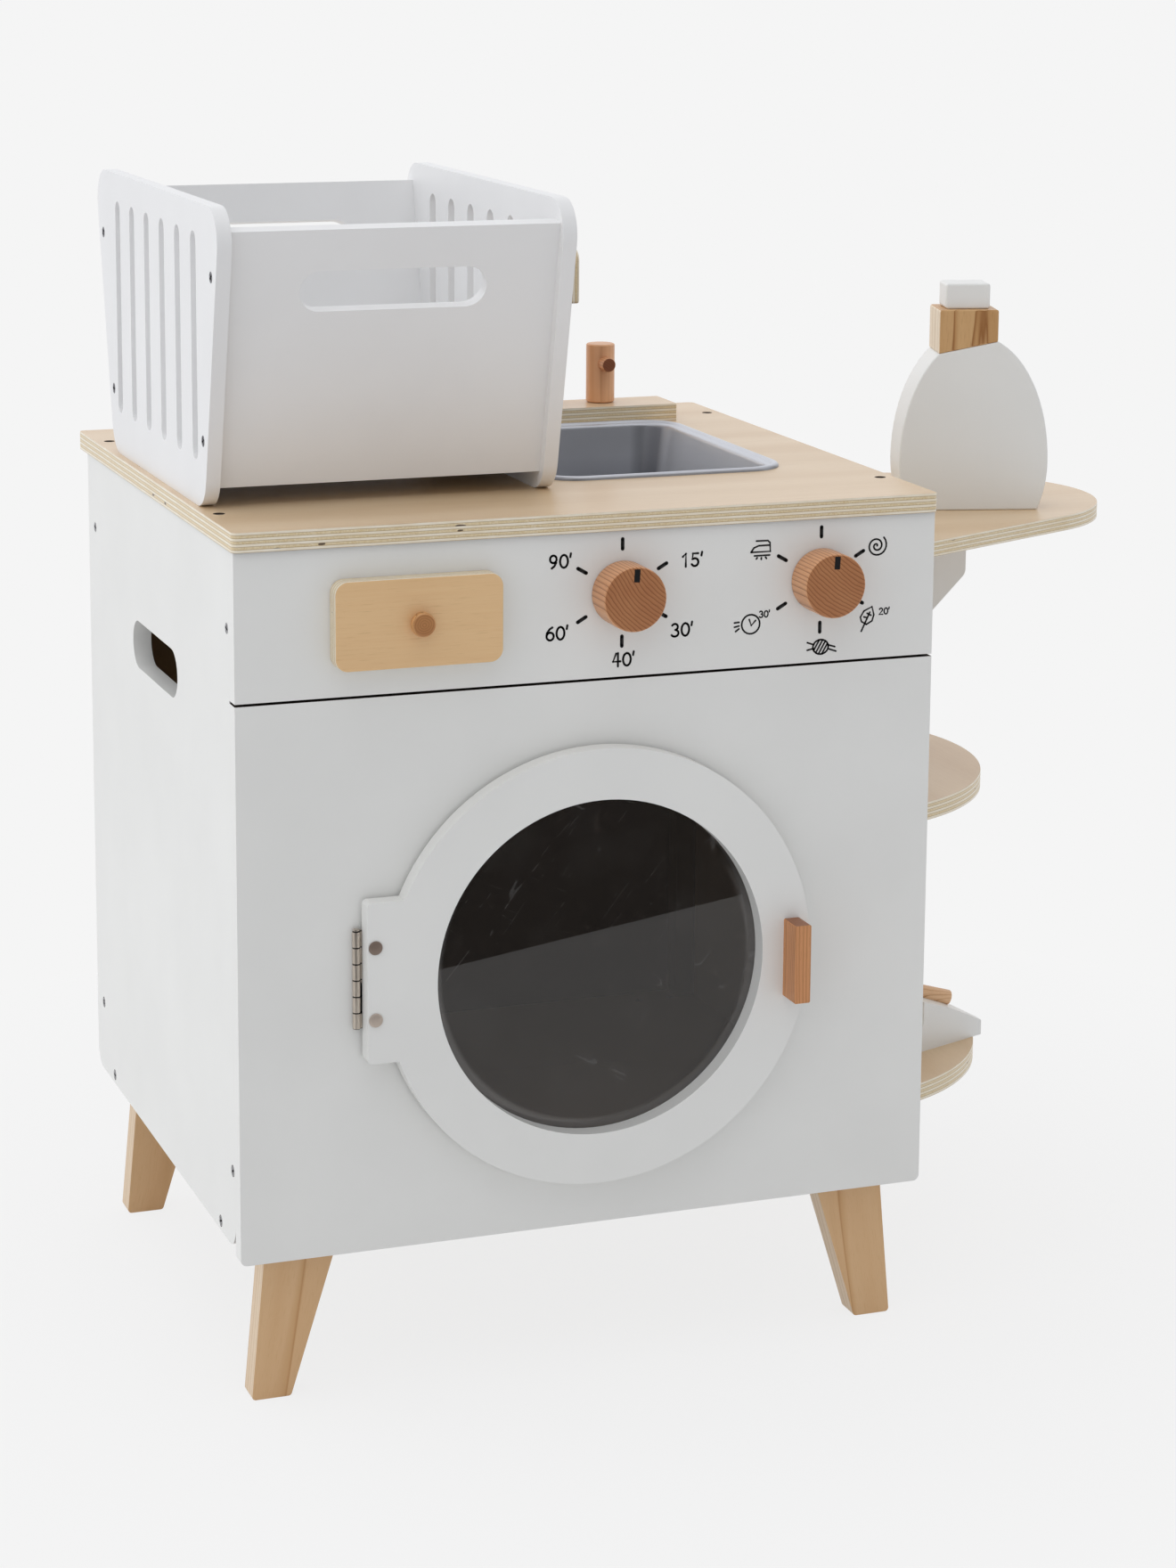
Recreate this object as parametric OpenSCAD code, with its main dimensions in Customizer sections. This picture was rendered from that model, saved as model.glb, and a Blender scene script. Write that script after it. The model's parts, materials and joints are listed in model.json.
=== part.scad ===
// Toy washing machine: a board cabinet on splayed legs, with a round hinged door, two dials, a
// detergent drawer, a worktop with a sink and two taps, side shelves with an ironing board,
// and its loose set: laundry basket, detergent bottle and iron. All sizes are in millimetres.

/* [Cabinet] */
// Width of the front
cab_w = 450; // [430:1:520]
// Depth from the front face to the back edge of the sides
cab_d = 388; // [370:1:440]
// Height from the bottom edge of the front to the underside of the worktop
cab_h = 438; // [425:1:480]
// Thickness of the front panels and the bottom panel
front_t = 12; // [9:0.5:15]
// Thickness of the side panels and the back panel
side_t = 12; // [10:0.5:15]
// Height of the fascia above the lower front panel
fascia_h = 90.5; // [85:0.5:100]
// Open joint between the fascia and the lower front panel
fascia_joint = 1.5; // [1:0.1:3]
// How far the side panels stop above the bottom edge of the front
side_lift = 6; // [3:0.5:10]
// Radius of the bottom corners of the side panels
side_corner_r = 14; // [6:1:20]
// Radius of the bottom corners of the lower front panel
front_corner_r = 4; // [2:0.5:8]
// Side of the square battens in the corners of the cabinet
batten = 15; // [12:1:20]

/* [Hand slot] */
// Length of the hand slot in the left side
hand_slot_l = 120; // [90:1:140]
// Height of the hand slot
hand_slot_h = 31; // [24:1:36]
// Distance from the underside of the worktop to the middle of the hand slot
hand_slot_drop = 104; // [90:1:130]

/* [Legs] */
// Height of the bottom edge of the front above the floor
leg_h = 95; // [80:1:120]
// Thickness of the leg planks
leg_t = 18; // [15:0.5:24]
// Width of a leg at the floor
foot_w = 25; // [20:0.5:32]
// Width of a leg under the bottom panel
leg_top_w = 47; // [40:0.5:60]
// Distance from the side of the cabinet to the outer edge of the foot
foot_inset = 10.5; // [8:0.5:16]
// Distance from the side of the cabinet to the outer edge of the leg's top
leg_top_inset = 20; // [18:0.5:26]
// Distance from the front face, and from the back, to the leg
leg_inset = 18; // [16:1:30]
// Rounding of the foot's corners
foot_r = 2.5; // [1:0.5:5]

/* [Worktop] */
// Thickness of the plywood worktop
top_t = 12; // [9:0.5:15]
// Overhang in front of the cabinet
top_over_front = 2.5; // [1:0.5:4]
// Overhang behind the cabinet
top_over_back = 22; // [10:1:30]
// Overhang at each side of the cabinet
top_over_side = 1; // [0.5:0.5:3]
// Radius of the worktop's corners
top_r = 4; // [2:0.5:10]

/* [Sink] */
// Outer width of the sink's rim
sink_w = 168; // [140:1:190]
// Outer depth of the sink's rim, front to back
sink_l = 220; // [180:1:230]
// Depth of the bowl below the worktop's face
bowl_h = 58; // [35:1:75]
// Thickness of the sheet metal
sheet = 1.2; // [1:0.1:2]
// Radius of the rolled edge
rim_r = 2.6; // [2:0.1:4]
// Radius of the sink's corners, seen from above
sink_corner_r = 28; // [22:1:40]
// Inward slope of the bowl's walls, at the floor
bowl_taper = 9; // [4:1:16]
// Distance from the front face of the cabinet to the sink's rim
sink_front = 108.5; // [90:0.5:120]
// Distance from the right side of the cabinet to the sink's rim
sink_right = 50; // [40:1:70]

/* [Taps and spout] */
// Length of the ledge that carries the taps
ledge_w = 183; // [160:1:200]
// Depth of the ledge
ledge_l = 39; // [34:1:50]
// Gap between the sink's rim and the ledge
ledge_gap = 1.5; // [1:0.5:5]
// Radius of a tap
tap_r = 10; // [8:0.5:12]
// Height of a tap
tap_h = 41; // [32:1:55]
// Distance between the middles of the two taps
tap_pitch = 86; // [70:1:110]
// Radius of a tap's peg
peg_r = 5; // [3:0.5:6]
// How far the peg stands out of the tap
peg_out = 8; // [5:0.5:14]
// Height of the peg's middle above the ledge
peg_z = 28; // [18:1:34]
// Thickness of the spout board
spout_t = 12; // [9:0.5:15]
// Height of the spout above the ledge
spout_h = 114; // [95:1:140]
// Depth of the upright part of the spout
spout_post = 24; // [20:1:28]
// Distance from the spout's front edge to its back edge
spout_reach = 70; // [60:1:90]
// Height of the spout's front edge
spout_lip_h = 37; // [30:1:45]
// Thickness of the spout's arm
spout_arm = 24; // [20:1:28]

/* [Dials] */
// Radius of a dial
dial_r = 20; // [16:0.5:22]
// Length of a dial
dial_l = 23; // [16:1:30]
// Rounding of a dial's edges
dial_edge = 1.2; // [0.5:0.1:3]
// Distance from the left side of the cabinet to the left dial's middle
left_dial_x = 242; // [230:1:255]
// Distance between the middles of the two dials
dial_pitch = 131; // [115:1:140]
// Distance from the underside of the worktop to the dials' middle
dial_drop = 38.5; // [34:0.5:44]

/* [Drawer] */
// Width of the drawer's plywood front
drawer_w = 104; // [98:1:120]
// Height of the drawer's front
drawer_h = 54; // [50:1:60]
// Thickness of the drawer's front
drawer_t = 12; // [9:0.5:15]
// Radius of the corners of the drawer's front
drawer_r = 8; // [4:0.5:12]
// Distance from the left side of the cabinet to the drawer's middle
drawer_x = 110; // [100:1:125]
// Distance from the underside of the worktop to the drawer's middle
drawer_drop = 46; // [42:0.5:50]
// Outer width of the drawer's tray
tray_w = 84; // [70:1:88]
// Outer height of the tray
tray_h = 34; // [26:1:38]
// Outer length of the tray
tray_l = 96; // [80:1:140]
// Wall of the tray
tray_wall = 5; // [4:0.5:7]
// Thickness of the housing's boards
housing_t = 5; // [4:0.5:7]
// Radius of the drawer's knob
knob_r = 7.4; // [6:0.1:11]
// How far the knob stands out
knob_l = 8.5; // [7:0.5:18]

/* [Door] */
// Outer radius of the door's ring
door_r = 138; // [130:1:145]
// Radius of the window opening in the ring
window_r = 106; // [96:1:108]
// Thickness of the ring
door_t = 12; // [9:0.5:15]
// Distance from the left side of the cabinet to the door's middle
door_x = 226; // [222:1:232]
// Height of the door's middle above the bottom edge of the front
door_z = 169; // [160:1:178]
// Height of the hinge tab
tab_h = 100; // [80:1:120]
// How far the tab's middle lies above the door's middle
tab_rise = 4.5; // [0:0.5:8]
// Edge of the tab, to the right of the hinge's axis
tab_edge = 3.5; // [3.2:0.1:5]
// Thickness of the window pane
pane_t = 3; // [2:0.5:4]
// Overlap of the pane on the back of the ring
pane_lap = 7; // [6:0.5:12]
// Clearance around the pane in the front panel's opening
pane_clear = 4; // [3:0.5:7]
// Width of the wooden handle
handle_w = 10.6; // [9:0.1:16]
// How far the handle stands out of the ring
handle_l = 18.5; // [14:0.5:26]
// Height of the handle
handle_h = 50; // [36:1:60]
// How far the handle's middle lies below the door's middle
handle_drop = 5; // [0:1:12]
// How far the handle lies outside the middle of the ring's width
handle_shift = 3.3; // [0:0.1:4]

/* [Door hinge] */
// Length of the hinge
hinge_l = 61; // [50:1:75]
// Radius of the knuckles
knuckle_r = 2.4; // [2.4:0.05:2.8]
// Radius of the hinge pin
pin_r = 1.2; // [1:0.05:1.4]
// Thickness of the leaves
leaf_t = 1.1; // [0.9:0.05:1.2]
// Width of the leaves from the axis
leaf_w = 20; // [16:0.5:26]
// Distance from the left side of the cabinet to the hinge's axis
hinge_x = 72.5; // [70:0.5:76]
// Distance between the two bolts of the door's leaf
bolt_pitch = 45; // [36:1:50]
// Distance from the hinge's axis to the bolts
bolt_x = 8.5; // [8:0.5:12]
// Number of knuckles
knuckles = 6; // [4:2:8]

/* [Shelves] */
// Length of the ironing board from the side panel to its tip
board_l = 208; // [180:1:240]
// Width of the ironing board at the side panel
board_root_w = 320; // [260:1:340]
// Radius of the ironing board's round tip
board_tip_r = 98; // [80:1:110]
// Thickness of the ironing board
board_t = 10; // [9:0.5:12]
// Distance from the underside of the worktop down to the ironing board's face
board_drop = 29.5; // [23:0.5:50]
// Radius of the two lower shelves
shelf_r = 150; // [140:1:165]
// How far the lower shelves reach out of the side panel
shelf_out = 121; // [100:1:130]
// How far the middle of their round edge lies behind the middle of the side panel
shelf_shift = 4; // [0:1:8]
// Thickness of the lower shelves
shelf_t = 12; // [9:0.5:15]
// Gap between the foot of the ironing board's bracket and the middle shelf below it
bracket_foot_gap = 4.5; // [2:0.5:20]
// Height of the bottom shelf's face above the bottom edge of the front
bottom_z = 40; // [34:1:60]
// Reach of the bracket under the ironing board
bracket_l = 119; // [90:1:130]
// Height of the bracket's upright outer edge
bracket_lip = 43; // [30:1:50]
// Thickness of the bracket
bracket_t = 9; // [8:0.5:12]

/* [Laundry basket] */
// Outer width of the basket
basket_w = 223.5; // [205:0.5:227]
// Height of the basket's side panels
basket_h = 184; // [150:1:220]
// Length of a side panel at its foot
basket_foot_l = 242; // [220:1:260]
// Length of a side panel at its top
basket_top_l = 328; // [300:1:350]
// Thickness of the basket's boards
basket_t = 9; // [8:0.5:12]
// Radius of the side panels' corners
basket_r = 22; // [12:1:30]
// Distance from the edge of a side panel to the front and back panels
basket_inset = 7; // [4:0.5:10]
// Height of the front and back panels above the basket's foot
basket_lift = 10.5; // [8:0.5:20]
// Distance from the top of the front and back panels to the middle of their hand slots
basket_slot_drop = 38.5; // [34:0.5:50]
// Drop of the front and back panels below the top of the sides
basket_drop = 16; // [8:1:24]
// Length of the hand slots in the front and back
basket_slot_l = 117; // [90:1:130]
// Height of the hand slots
basket_slot_h = 25.5; // [22:0.5:32]
// Width of the slots in the basket's sides
vent_w = 13; // [8:1:16]
// Distance between the slots in the basket's sides
vent_pitch = 40; // [30:1:42]
// Number of slots in each side of the basket
vents = 6; // [3:1:6]
// Distance from the left side of the cabinet to the basket
basket_x = 3.5; // [2:0.5:4]

/* [Detergent bottle] */
// Width of the bottle
bottle_w = 101; // [80:1:110]
// Thickness of the bottle
bottle_t = 36; // [28:1:40]
// Height at which the bottle is widest
bottle_belly_z = 32; // [26:1:40]
// Height of the upper half of the bottle's oval, above the belly
bottle_arch = 85.5; // [70:0.5:95]
// Height of the lower half of the bottle's oval, before it is cut flat
bottle_base_arch = 66; // [58:1:80]
// Width of the wooden collar
collar_w = 40; // [34:1:46]
// Height of the collar at its taller left edge
collar_h = 29.3; // [24:0.1:38]
// Slope of the collar's foot
collar_slope = 11.3; // [0:0.1:14]
// How far the collar sits to the left of the bottle's middle
collar_offset = 5.5; // [0:0.5:8]
// Width of the cap
cap_w = 30; // [22:1:34]
// Depth of the cap
cap_l = 24.5; // [20:0.5:30]
// Height of the cap
cap_h = 17; // [12:1:24]
// Turn of the bottle on the ironing board
bottle_turn = -15; // [-20:1:20]
// Distance from the middle of the board's round tip back to the bottle
bottle_back = 5.7; // [0:0.1:20]
// Distance from the middle line of the board forward to the bottle
bottle_forward = 34; // [20:1:40]

/* [Iron] */
// Length of the iron
iron_l = 110.5; // [100:0.5:114]
// Width of the iron
iron_w = 70; // [60:1:80]
// Height of the iron's body at the back
iron_h = 50; // [46:1:60]
// Height of the iron's nose
nose_h = 10; // [8:1:14]
// Radius of the handle's dowel
dowel_r = 5.2; // [4:0.1:7]
// Length of the handle's dowel
dowel_l = 84; // [76:1:88]
// Downward slope of the handle
dowel_slope = 16.4; // [12:0.1:18]
// Length of the finger gap under the handle
finger_l = 44; // [36:1:46]
// Height of the body under the finger gap
finger_z = 14; // [10:1:18]
// Distance from the side panel to the iron
iron_gap = 6; // [2:0.5:10]
// Distance from the middle of the side panel forward to the iron
iron_forward = 50; // [30:1:60]

/* [Hidden] */

$fn = 96;
// Extra length that carries a cut past a face
over = 1;
// Radial clearance of a shaft that turns in its hole
run_clear = 0.05;
// Clearance between faces that slide or turn on each other
slide_clear = 0.3;
// Sideways clearance of the drawer's tray in its housing
tray_clear = 0.5;
// Clearance between the two leaves of the closed hinge
leaf_clear = 0.2;
// Clearance around and between the knuckles
knuckle_clear = 0.3;

// Screws: shank and countersunk head
screw_r = 1.5;
screw_head_r = 3.2;
screw_head_t = 2;
screw_l = 24;
top_screw_l = 30;
// Depth of the screw heads below the worktop's face, and clearance around them
screw_sink = 1;
screw_hole_clear = 0.4;
// Bolts that carry the dials and the taps, and the depth of the tap bolts' counterbore
bolt_r = 3;
bolt_head_r = 6;
bolt_head_t = 3;
bolt_grip = 14;
bolt_seat = bolt_head_t + 2 * slide_clear;
// Round heads and shanks of the bolts through the door's tab
tab_bolt_head_r = 4.3;
tab_bolt_head_t = 1.6;
tab_bolt_r = 2;
// Corner radius of the door's tab and of the ledge
tab_r = 3;
ledge_r = 1.5;
// Door catch: a magnet in the front panel and a steel plate on the ring
magnet_r = 5;
magnet_t = 6;
plate_r = 6;
plate_t = 1.6;
// Number of screws that hold the pane
pane_screw_count = 8;
pane_screw_head_t = 1.4;
pane_screw_head_r = 2.9;
pane_screw_l = 6;
// How far the door's tab runs in under the ring, and where the hinge's screws sit in its leaf
tab_tuck = 12;
hinge_screw_inset = 6;
// Screw places: worktop, battens, bottom panel, bracket and basket
top_screw_inset_front = 52;
top_screw_inset_back = 18;
batten_screw_drop = 48;
batten_screw_rise = 49;
bottom_screw_front = 36;
bottom_screw_back = 38;
bracket_screw_low = 35.5;
bracket_screw_high = 50;
basket_screw_share = 0.18;
// Round between the walls and the floor of the bowl
bowl_floor_r = 16;
// Distance from the back of the ledge to the taps and to the spout
tap_inset = 4;
spout_inset = 2;
// Rounding of the spout's bend, of its front edge, under its arm and of its mouth
spout_bend_r = 32;
spout_lip_r = 8;
spout_inner_r = 9;
spout_mouth_r = 2;
// How much narrower the mouth is than the post
mouth_step = 2;
// Broken edges of the taps and their pegs, and how deep a peg sits past the tap's middle
tap_edge = 0.8;
peg_edge = 0.6;
peg_seat = 2;
// Rounded edge and neck of the drawer's knob
knob_edge = 1.5;
knob_neck = 0.5;
// Extra thickness of the tray's front wall, and length of the housing behind the tray
tray_front = 2;
housing_over = 4;
// Basket: slots above the floor and below the top, and height of the floor above the panels' foot
vent_foot = 8;
vent_head = 18;
basket_floor_lift = 2;
// Iron: length of the shoulder, slope and brow of the profile, and start of the finger gap
shoulder_l = 28;
slope_l = 30;
slope_h = 15.5;
brow_h = 25;
nose_w = 6;
finger_start = 12;
// Height of the handle's middle line above the back of the iron's body
dowel_rise = 1.8;

// Levels of the cabinet, measured from the bottom edge of the front
top_z = cab_h + top_t;
floor_z = side_lift + front_t;
fascia_z = cab_h - fascia_h;
lower_h = fascia_z - fascia_joint;
inside_w = cab_w - 2 * side_t;
inside_back = cab_d - side_t;
hand_slot_z = cab_h - hand_slot_drop;
side_mid_y = (front_t + cab_d) / 2;

// Door, hinge and handle
door_gap = 2 * leaf_t + leaf_clear;
hinge_y = -knuckle_r - knuckle_clear;
tab_z = door_z + tab_rise;
ring_front_y = -door_gap - door_t;
pane_r = window_r + pane_lap;
opening_r = pane_r + pane_clear;
knuckle_l = hinge_l / knuckles;
ring_mid_r = (door_r + window_r) / 2;
handle_x = door_x + ring_mid_r + handle_shift;
handle_z = door_z - handle_drop;

// Dials and drawer
dial_z = cab_h - dial_drop;
right_dial_x = left_dial_x + dial_pitch;
drawer_z = cab_h - drawer_drop;
tray_z = drawer_z - tray_h / 2;
opening_w = tray_w + 2 * tray_clear;
opening_h = tray_h + 2 * slide_clear;

// Sink, ledge, taps and spout
sink_x = cab_w - sink_right - sink_w / 2;
sink_y = sink_front + sink_l / 2;
bowl_w = sink_w - 4 * rim_r;
bowl_l = sink_l - 4 * rim_r;
bowl_corner_r = sink_corner_r - 2 * rim_r;
ledge_front = sink_front + sink_l + ledge_gap;
ledge_z = top_z + top_t;
tap_y = ledge_front + ledge_l - tap_r - tap_inset;
left_tap_x = sink_x - tap_pitch / 2;
right_tap_x = sink_x + tap_pitch / 2;
spout_back = ledge_front + ledge_l - spout_inset;

// Worktop's screws, which go down into the top edges of the side panels
top_screw_x = side_t * 0.7;
top_screw_front = front_t + top_screw_inset_front;
top_screw_back = inside_back - top_screw_inset_back;

// Shelves on the right side
board_tip_x = board_l - board_tip_r;
shelf_sink = shelf_r - shelf_out;
shelf_mid_y = side_mid_y + shelf_shift;
board_z = cab_h - board_drop;
board_under_z = board_z - board_t;
bracket_foot_z = board_under_z - bracket_lip - bracket_l;
middle_z = bracket_foot_z - bracket_foot_gap;

// Laundry basket
basket_mid_y = side_mid_y;
basket_lean = atan((basket_top_l - basket_foot_l) / 2 / basket_h);
basket_panel_h = (basket_h - basket_lift - basket_drop) / cos(basket_lean);
basket_inner_w = basket_w - 2 * basket_t;
vent_low = basket_lift + basket_t + vent_foot;
vent_high = basket_h - vent_head;
basket_slot_z = basket_panel_h - basket_slot_drop;
basket_floor_z = basket_lift + basket_floor_lift;

// Detergent bottle, on the ironing board
bottle_x = cab_w + board_tip_x - bottle_back;
bottle_y = side_mid_y - bottle_forward;
collar_left = -collar_offset - collar_w / 2;
collar_right = -collar_offset + collar_w / 2;
collar_top_z = bottle_height(-collar_left) + collar_h;

// Iron, on the bottom shelf
iron_x = cab_w + iron_gap;
iron_y = side_mid_y - iron_forward;
dowel_top = [dowel_r, iron_h + dowel_rise];

// Middle of the whole object's box, which is the origin
left_end = -top_over_side;
right_end = cab_w + board_l;
front_end = ring_front_y - handle_l;
back_end = cab_d + top_over_back;
origin_x = (left_end + right_end) / 2;
origin_y = (front_end + back_end) / 2;

WHITE = "#ecebe8";
PLY = "#dcc7a3";
PINE = "#d7ba8d";
BEECH = "#b98a62";
STEEL = "#a9abb0";
NICKEL = "#b5a898";
RAW = "#8d6f52";
TINT = "#2a2624";

// ---------- shared helpers ----------

// Moves what is drawn in the cabinet's frame (left front bottom corner of the front) to the origin
module place() {
    translate([-origin_x, -origin_y, leg_h]) children();
}

// A board that faces the front: its outline is drawn in X and Z, and it fills y to y + t
module facing_front(y, t) {
    translate([0, y + t, 0]) rotate([90, 0, 0]) linear_extrude(t) children();
}

// A board that faces the side: its outline is drawn in Y and Z, and it fills x to x + t
module facing_side(x, t) {
    translate([x, 0, 0]) rotate([90, 0, 90]) linear_extrude(t) children();
}

// A level board: its outline is drawn in X and Y, and it fills z to z + t
module level(z, t) {
    translate([0, 0, z]) linear_extrude(t) children();
}

// Rectangle from low corner to high corner, all four corners rounded
module round_rect(low, high, r) {
    size = high - low;
    translate([low[0] + r, low[1]]) square([size[0] - 2 * r, size[1]]);
    translate([low[0], low[1] + r]) square([size[0], size[1] - 2 * r]);
    for (x = [low[0] + r, high[0] - r]) {
        for (y = [low[1] + r, high[1] - r]) translate([x, y]) circle(r);
    }
}

// Rectangle from low corner to high corner with only its bottom corners rounded
module round_bottom_rect(low, high, r) {
    round_rect(low, [high[0], low[1] + 2 * r + over], r);
    translate([low[0], low[1] + r]) square([high[0] - low[0], high[1] - low[1] - r]);
}

// Slot with round ends about a middle point
module stadium(middle, l, h) {
    translate(middle) {
        square([l - h, h], center = true);
        for (side = [-1, 1]) translate([side * (l - h) / 2, 0]) circle(h / 2);
    }
}

// Cylinder along Y from y1 to y2
module y_rod(x, z, r, y1, y2) {
    translate([x, y2, z]) rotate([90, 0, 0]) cylinder(r = r, h = y2 - y1);
}

function unit(v) = v / norm(v);

// Points of the arc that rounds corner b of an outline, coming from a and going on to c
function corner_arc(a, b, c, r, steps) =
    let (
        u = unit(a - b),
        v = unit(c - b),
        half = acos(u * v) / 2,
        centre = b + unit(u + v) * r / sin(half),
        first = b + u * r / tan(half) - centre,
        turn = (180 - 2 * half) * (cross(-u, v) > 0 ? 1 : -1),
        start = atan2(first[1], first[0])
    )
    [for (i = [0 : steps]) centre + r * [cos(start + turn * i / steps), sin(start + turn * i / steps)]];

// Outline with each corner rounded by its own radius; a radius of 0 keeps the corner sharp
function round_outline(points, radii, steps = 10) = [
    for (i = [0 : len(points) - 1])
        let (
            before = points[(i + len(points) - 1) % len(points)],
            after = points[(i + 1) % len(points)]
        )
        each (radii[i] == 0 ? [points[i]] : corner_arc(before, points[i], after, radii[i], steps))
];

// Countersunk screw that points down, with the top of its head at the origin
module screw(l = screw_l) {
    rotate([180, 0, 0]) {
        cylinder(r1 = screw_head_r, r2 = screw_r, h = screw_head_t);
        cylinder(r = screw_r, h = l);
    }
}

// Hole for such a screw: the head's recess and the shank, open at the top
module screw_hole(l = screw_l, sink = 0) {
    translate([0, 0, -sink]) rotate([180, 0, 0]) {
        cylinder(
            r1 = screw_head_r + screw_hole_clear,
            r2 = screw_r,
            h = screw_head_t + screw_hole_clear
        );
        cylinder(r = screw_r, h = l);
    }
    translate([0, 0, -sink]) cylinder(r = screw_head_r + screw_hole_clear, h = sink + over);
}

// Places of the worktop's screws
module at_top_screws() {
    for (x = [top_screw_x, cab_w - top_screw_x]) {
        for (y = [top_screw_front, top_screw_back]) translate([x, y, top_z]) children();
    }
}

// Places of the screws in a side panel; children point into the cabinet
module at_side_screws(mirrored) {
    batten_y = front_t + batten / 3;
    high = cab_h - batten_screw_drop;
    low = side_lift + batten_screw_rise;
    floor_mid = side_lift + front_t / 2;
    points = [
        [batten_y, high],
        [batten_y, low],
        [front_t + bottom_screw_front, floor_mid],
        [inside_back - bottom_screw_back, floor_mid],
        [inside_back - batten / 2, high],
        [inside_back - batten / 2, low]
    ];
    for (p = points) {
        translate([mirrored ? cab_w : 0, p[0], p[1]]) rotate([0, mirrored ? 90 : -90, 0]) children();
    }
}

// Places of the screws that hold the shelves and the bracket, in the right side panel's inner face
module at_shelf_screws() {
    for (z = [middle_z - shelf_t / 2, bottom_z - shelf_t / 2, board_z - board_t / 2]) {
        for (side = [-1, 1]) {
            translate([cab_w - side_t, side_mid_y + side * shelf_r / 2, z]) rotate([0, -90, 0]) children();
        }
    }
    for (z = [bracket_foot_z + bracket_screw_low, board_under_z - bracket_screw_high]) {
        translate([cab_w - side_t, side_mid_y, z]) rotate([0, -90, 0]) children();
    }
}

// Places of the screws that go down through the bottom panel into the legs
module at_leg_screws() {
    leg_mid = leg_top_inset + leg_top_w / 2;
    for (x = [leg_mid, cab_w - leg_mid]) {
        for (y = [leg_inset + leg_t / 2, cab_d - leg_inset - leg_t / 2]) {
            for (side = [-1, 1]) translate([x + side * leg_top_w / 4, y, floor_z]) children();
        }
    }
}

// ---------- cabinet boards ----------

module lower_front() {
    color(WHITE) place() difference() {
        facing_front(0, front_t) round_bottom_rect([0, 0], [cab_w, lower_h], front_corner_r);
        y_rod(door_x, door_z, opening_r, -over, front_t + over);
        y_rod(handle_x, door_z, magnet_r, -over, magnet_t);
        hinge_screw_places() screw_hole(front_t - over);
    }
}

module fascia() {
    color(WHITE) place() difference() {
        facing_front(0, front_t) translate([0, fascia_z]) square([cab_w, fascia_h]);
        translate([drawer_x - opening_w / 2, -over, tray_z - slide_clear])
            cube([opening_w, front_t + 2 * over, opening_h]);
        for (x = [left_dial_x, right_dial_x]) {
            y_rod(x, dial_z, bolt_r + run_clear, -over, front_t + over);
        }
    }
}

module side_blank(x) {
    facing_side(x, side_t)
        round_bottom_rect([front_t, side_lift], [cab_d, cab_h], side_corner_r);
}

module left_side() {
    color(WHITE) place() difference() {
        side_blank(0);
        facing_side(-over, side_t + 2 * over)
            stadium([side_mid_y, hand_slot_z], hand_slot_l, hand_slot_h);
        at_side_screws(false) screw_hole();
        at_top_screws() screw_hole(top_screw_l, screw_sink);
    }
}

module right_side() {
    color(WHITE) place() difference() {
        side_blank(cab_w - side_t);
        at_side_screws(true) screw_hole();
        at_shelf_screws() screw_hole();
        at_top_screws() screw_hole(top_screw_l, screw_sink);
    }
}

module back_panel() {
    color(WHITE) place() facing_front(inside_back, side_t)
        translate([side_t, floor_z]) square([inside_w, cab_h - floor_z]);
}

module bottom_panel() {
    color(RAW) place() difference() {
        translate([side_t, front_t, side_lift]) cube([inside_w, cab_d - front_t - side_corner_r, front_t]);
        at_leg_screws() screw_hole();
        at_side_screws(false) screw_hole();
        at_side_screws(true) screw_hole();
    }
}

module corner_battens() {
    color(PINE) place() difference() {
        for (x = [side_t, cab_w - side_t - batten]) {
            for (y = [front_t, inside_back - batten]) {
                translate([x, y, floor_z]) cube([batten, batten, cab_h - floor_z]);
            }
        }
        at_side_screws(false) screw_hole();
        at_side_screws(true) screw_hole();
    }
}

module worktop() {
    color(PLY) place() difference() {
        level(cab_h, top_t) round_rect(
            [-top_over_side, -top_over_front],
            [cab_w + top_over_side, cab_d + top_over_back],
            top_r
        );
        level(cab_h - over, top_t + 2 * over) translate([sink_x, sink_y]) round_rect(
            [-bowl_w / 2 - over, -bowl_l / 2 - over],
            [bowl_w / 2 + over, bowl_l / 2 + over],
            bowl_corner_r + over
        );
        at_top_screws() screw_hole(top_screw_l, screw_sink);
        for (x = [left_tap_x, right_tap_x]) {
            translate([x, tap_y, cab_h - over]) {
                cylinder(r = bolt_r + run_clear, h = top_t + 2 * over);
                cylinder(r = bolt_head_r + slide_clear, h = bolt_seat + over);
            }
        }
    }
}

// ---------- sink, ledge, taps and spout ----------

// Body of the bowl down from the rim: wide at the top, smaller and round at the floor
module bowl_block(wall, top) {
    floor_r = bowl_floor_r - wall;
    w = bowl_w / 2 - wall;
    l = bowl_l / 2 - wall;
    corner = bowl_corner_r - wall;
    hull() {
        for (x = [-1, 1]) {
            for (y = [-1, 1]) {
                translate([x * (w - corner), y * (l - corner), top - over])
                    cylinder(r = corner, h = over, $fn = 40);
                translate([
                    x * (w - bowl_taper - floor_r),
                    y * (l - bowl_taper - floor_r),
                    wall + floor_r - bowl_h
                ]) sphere(r = floor_r, $fn = 32);
            }
        }
    }
}

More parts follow.
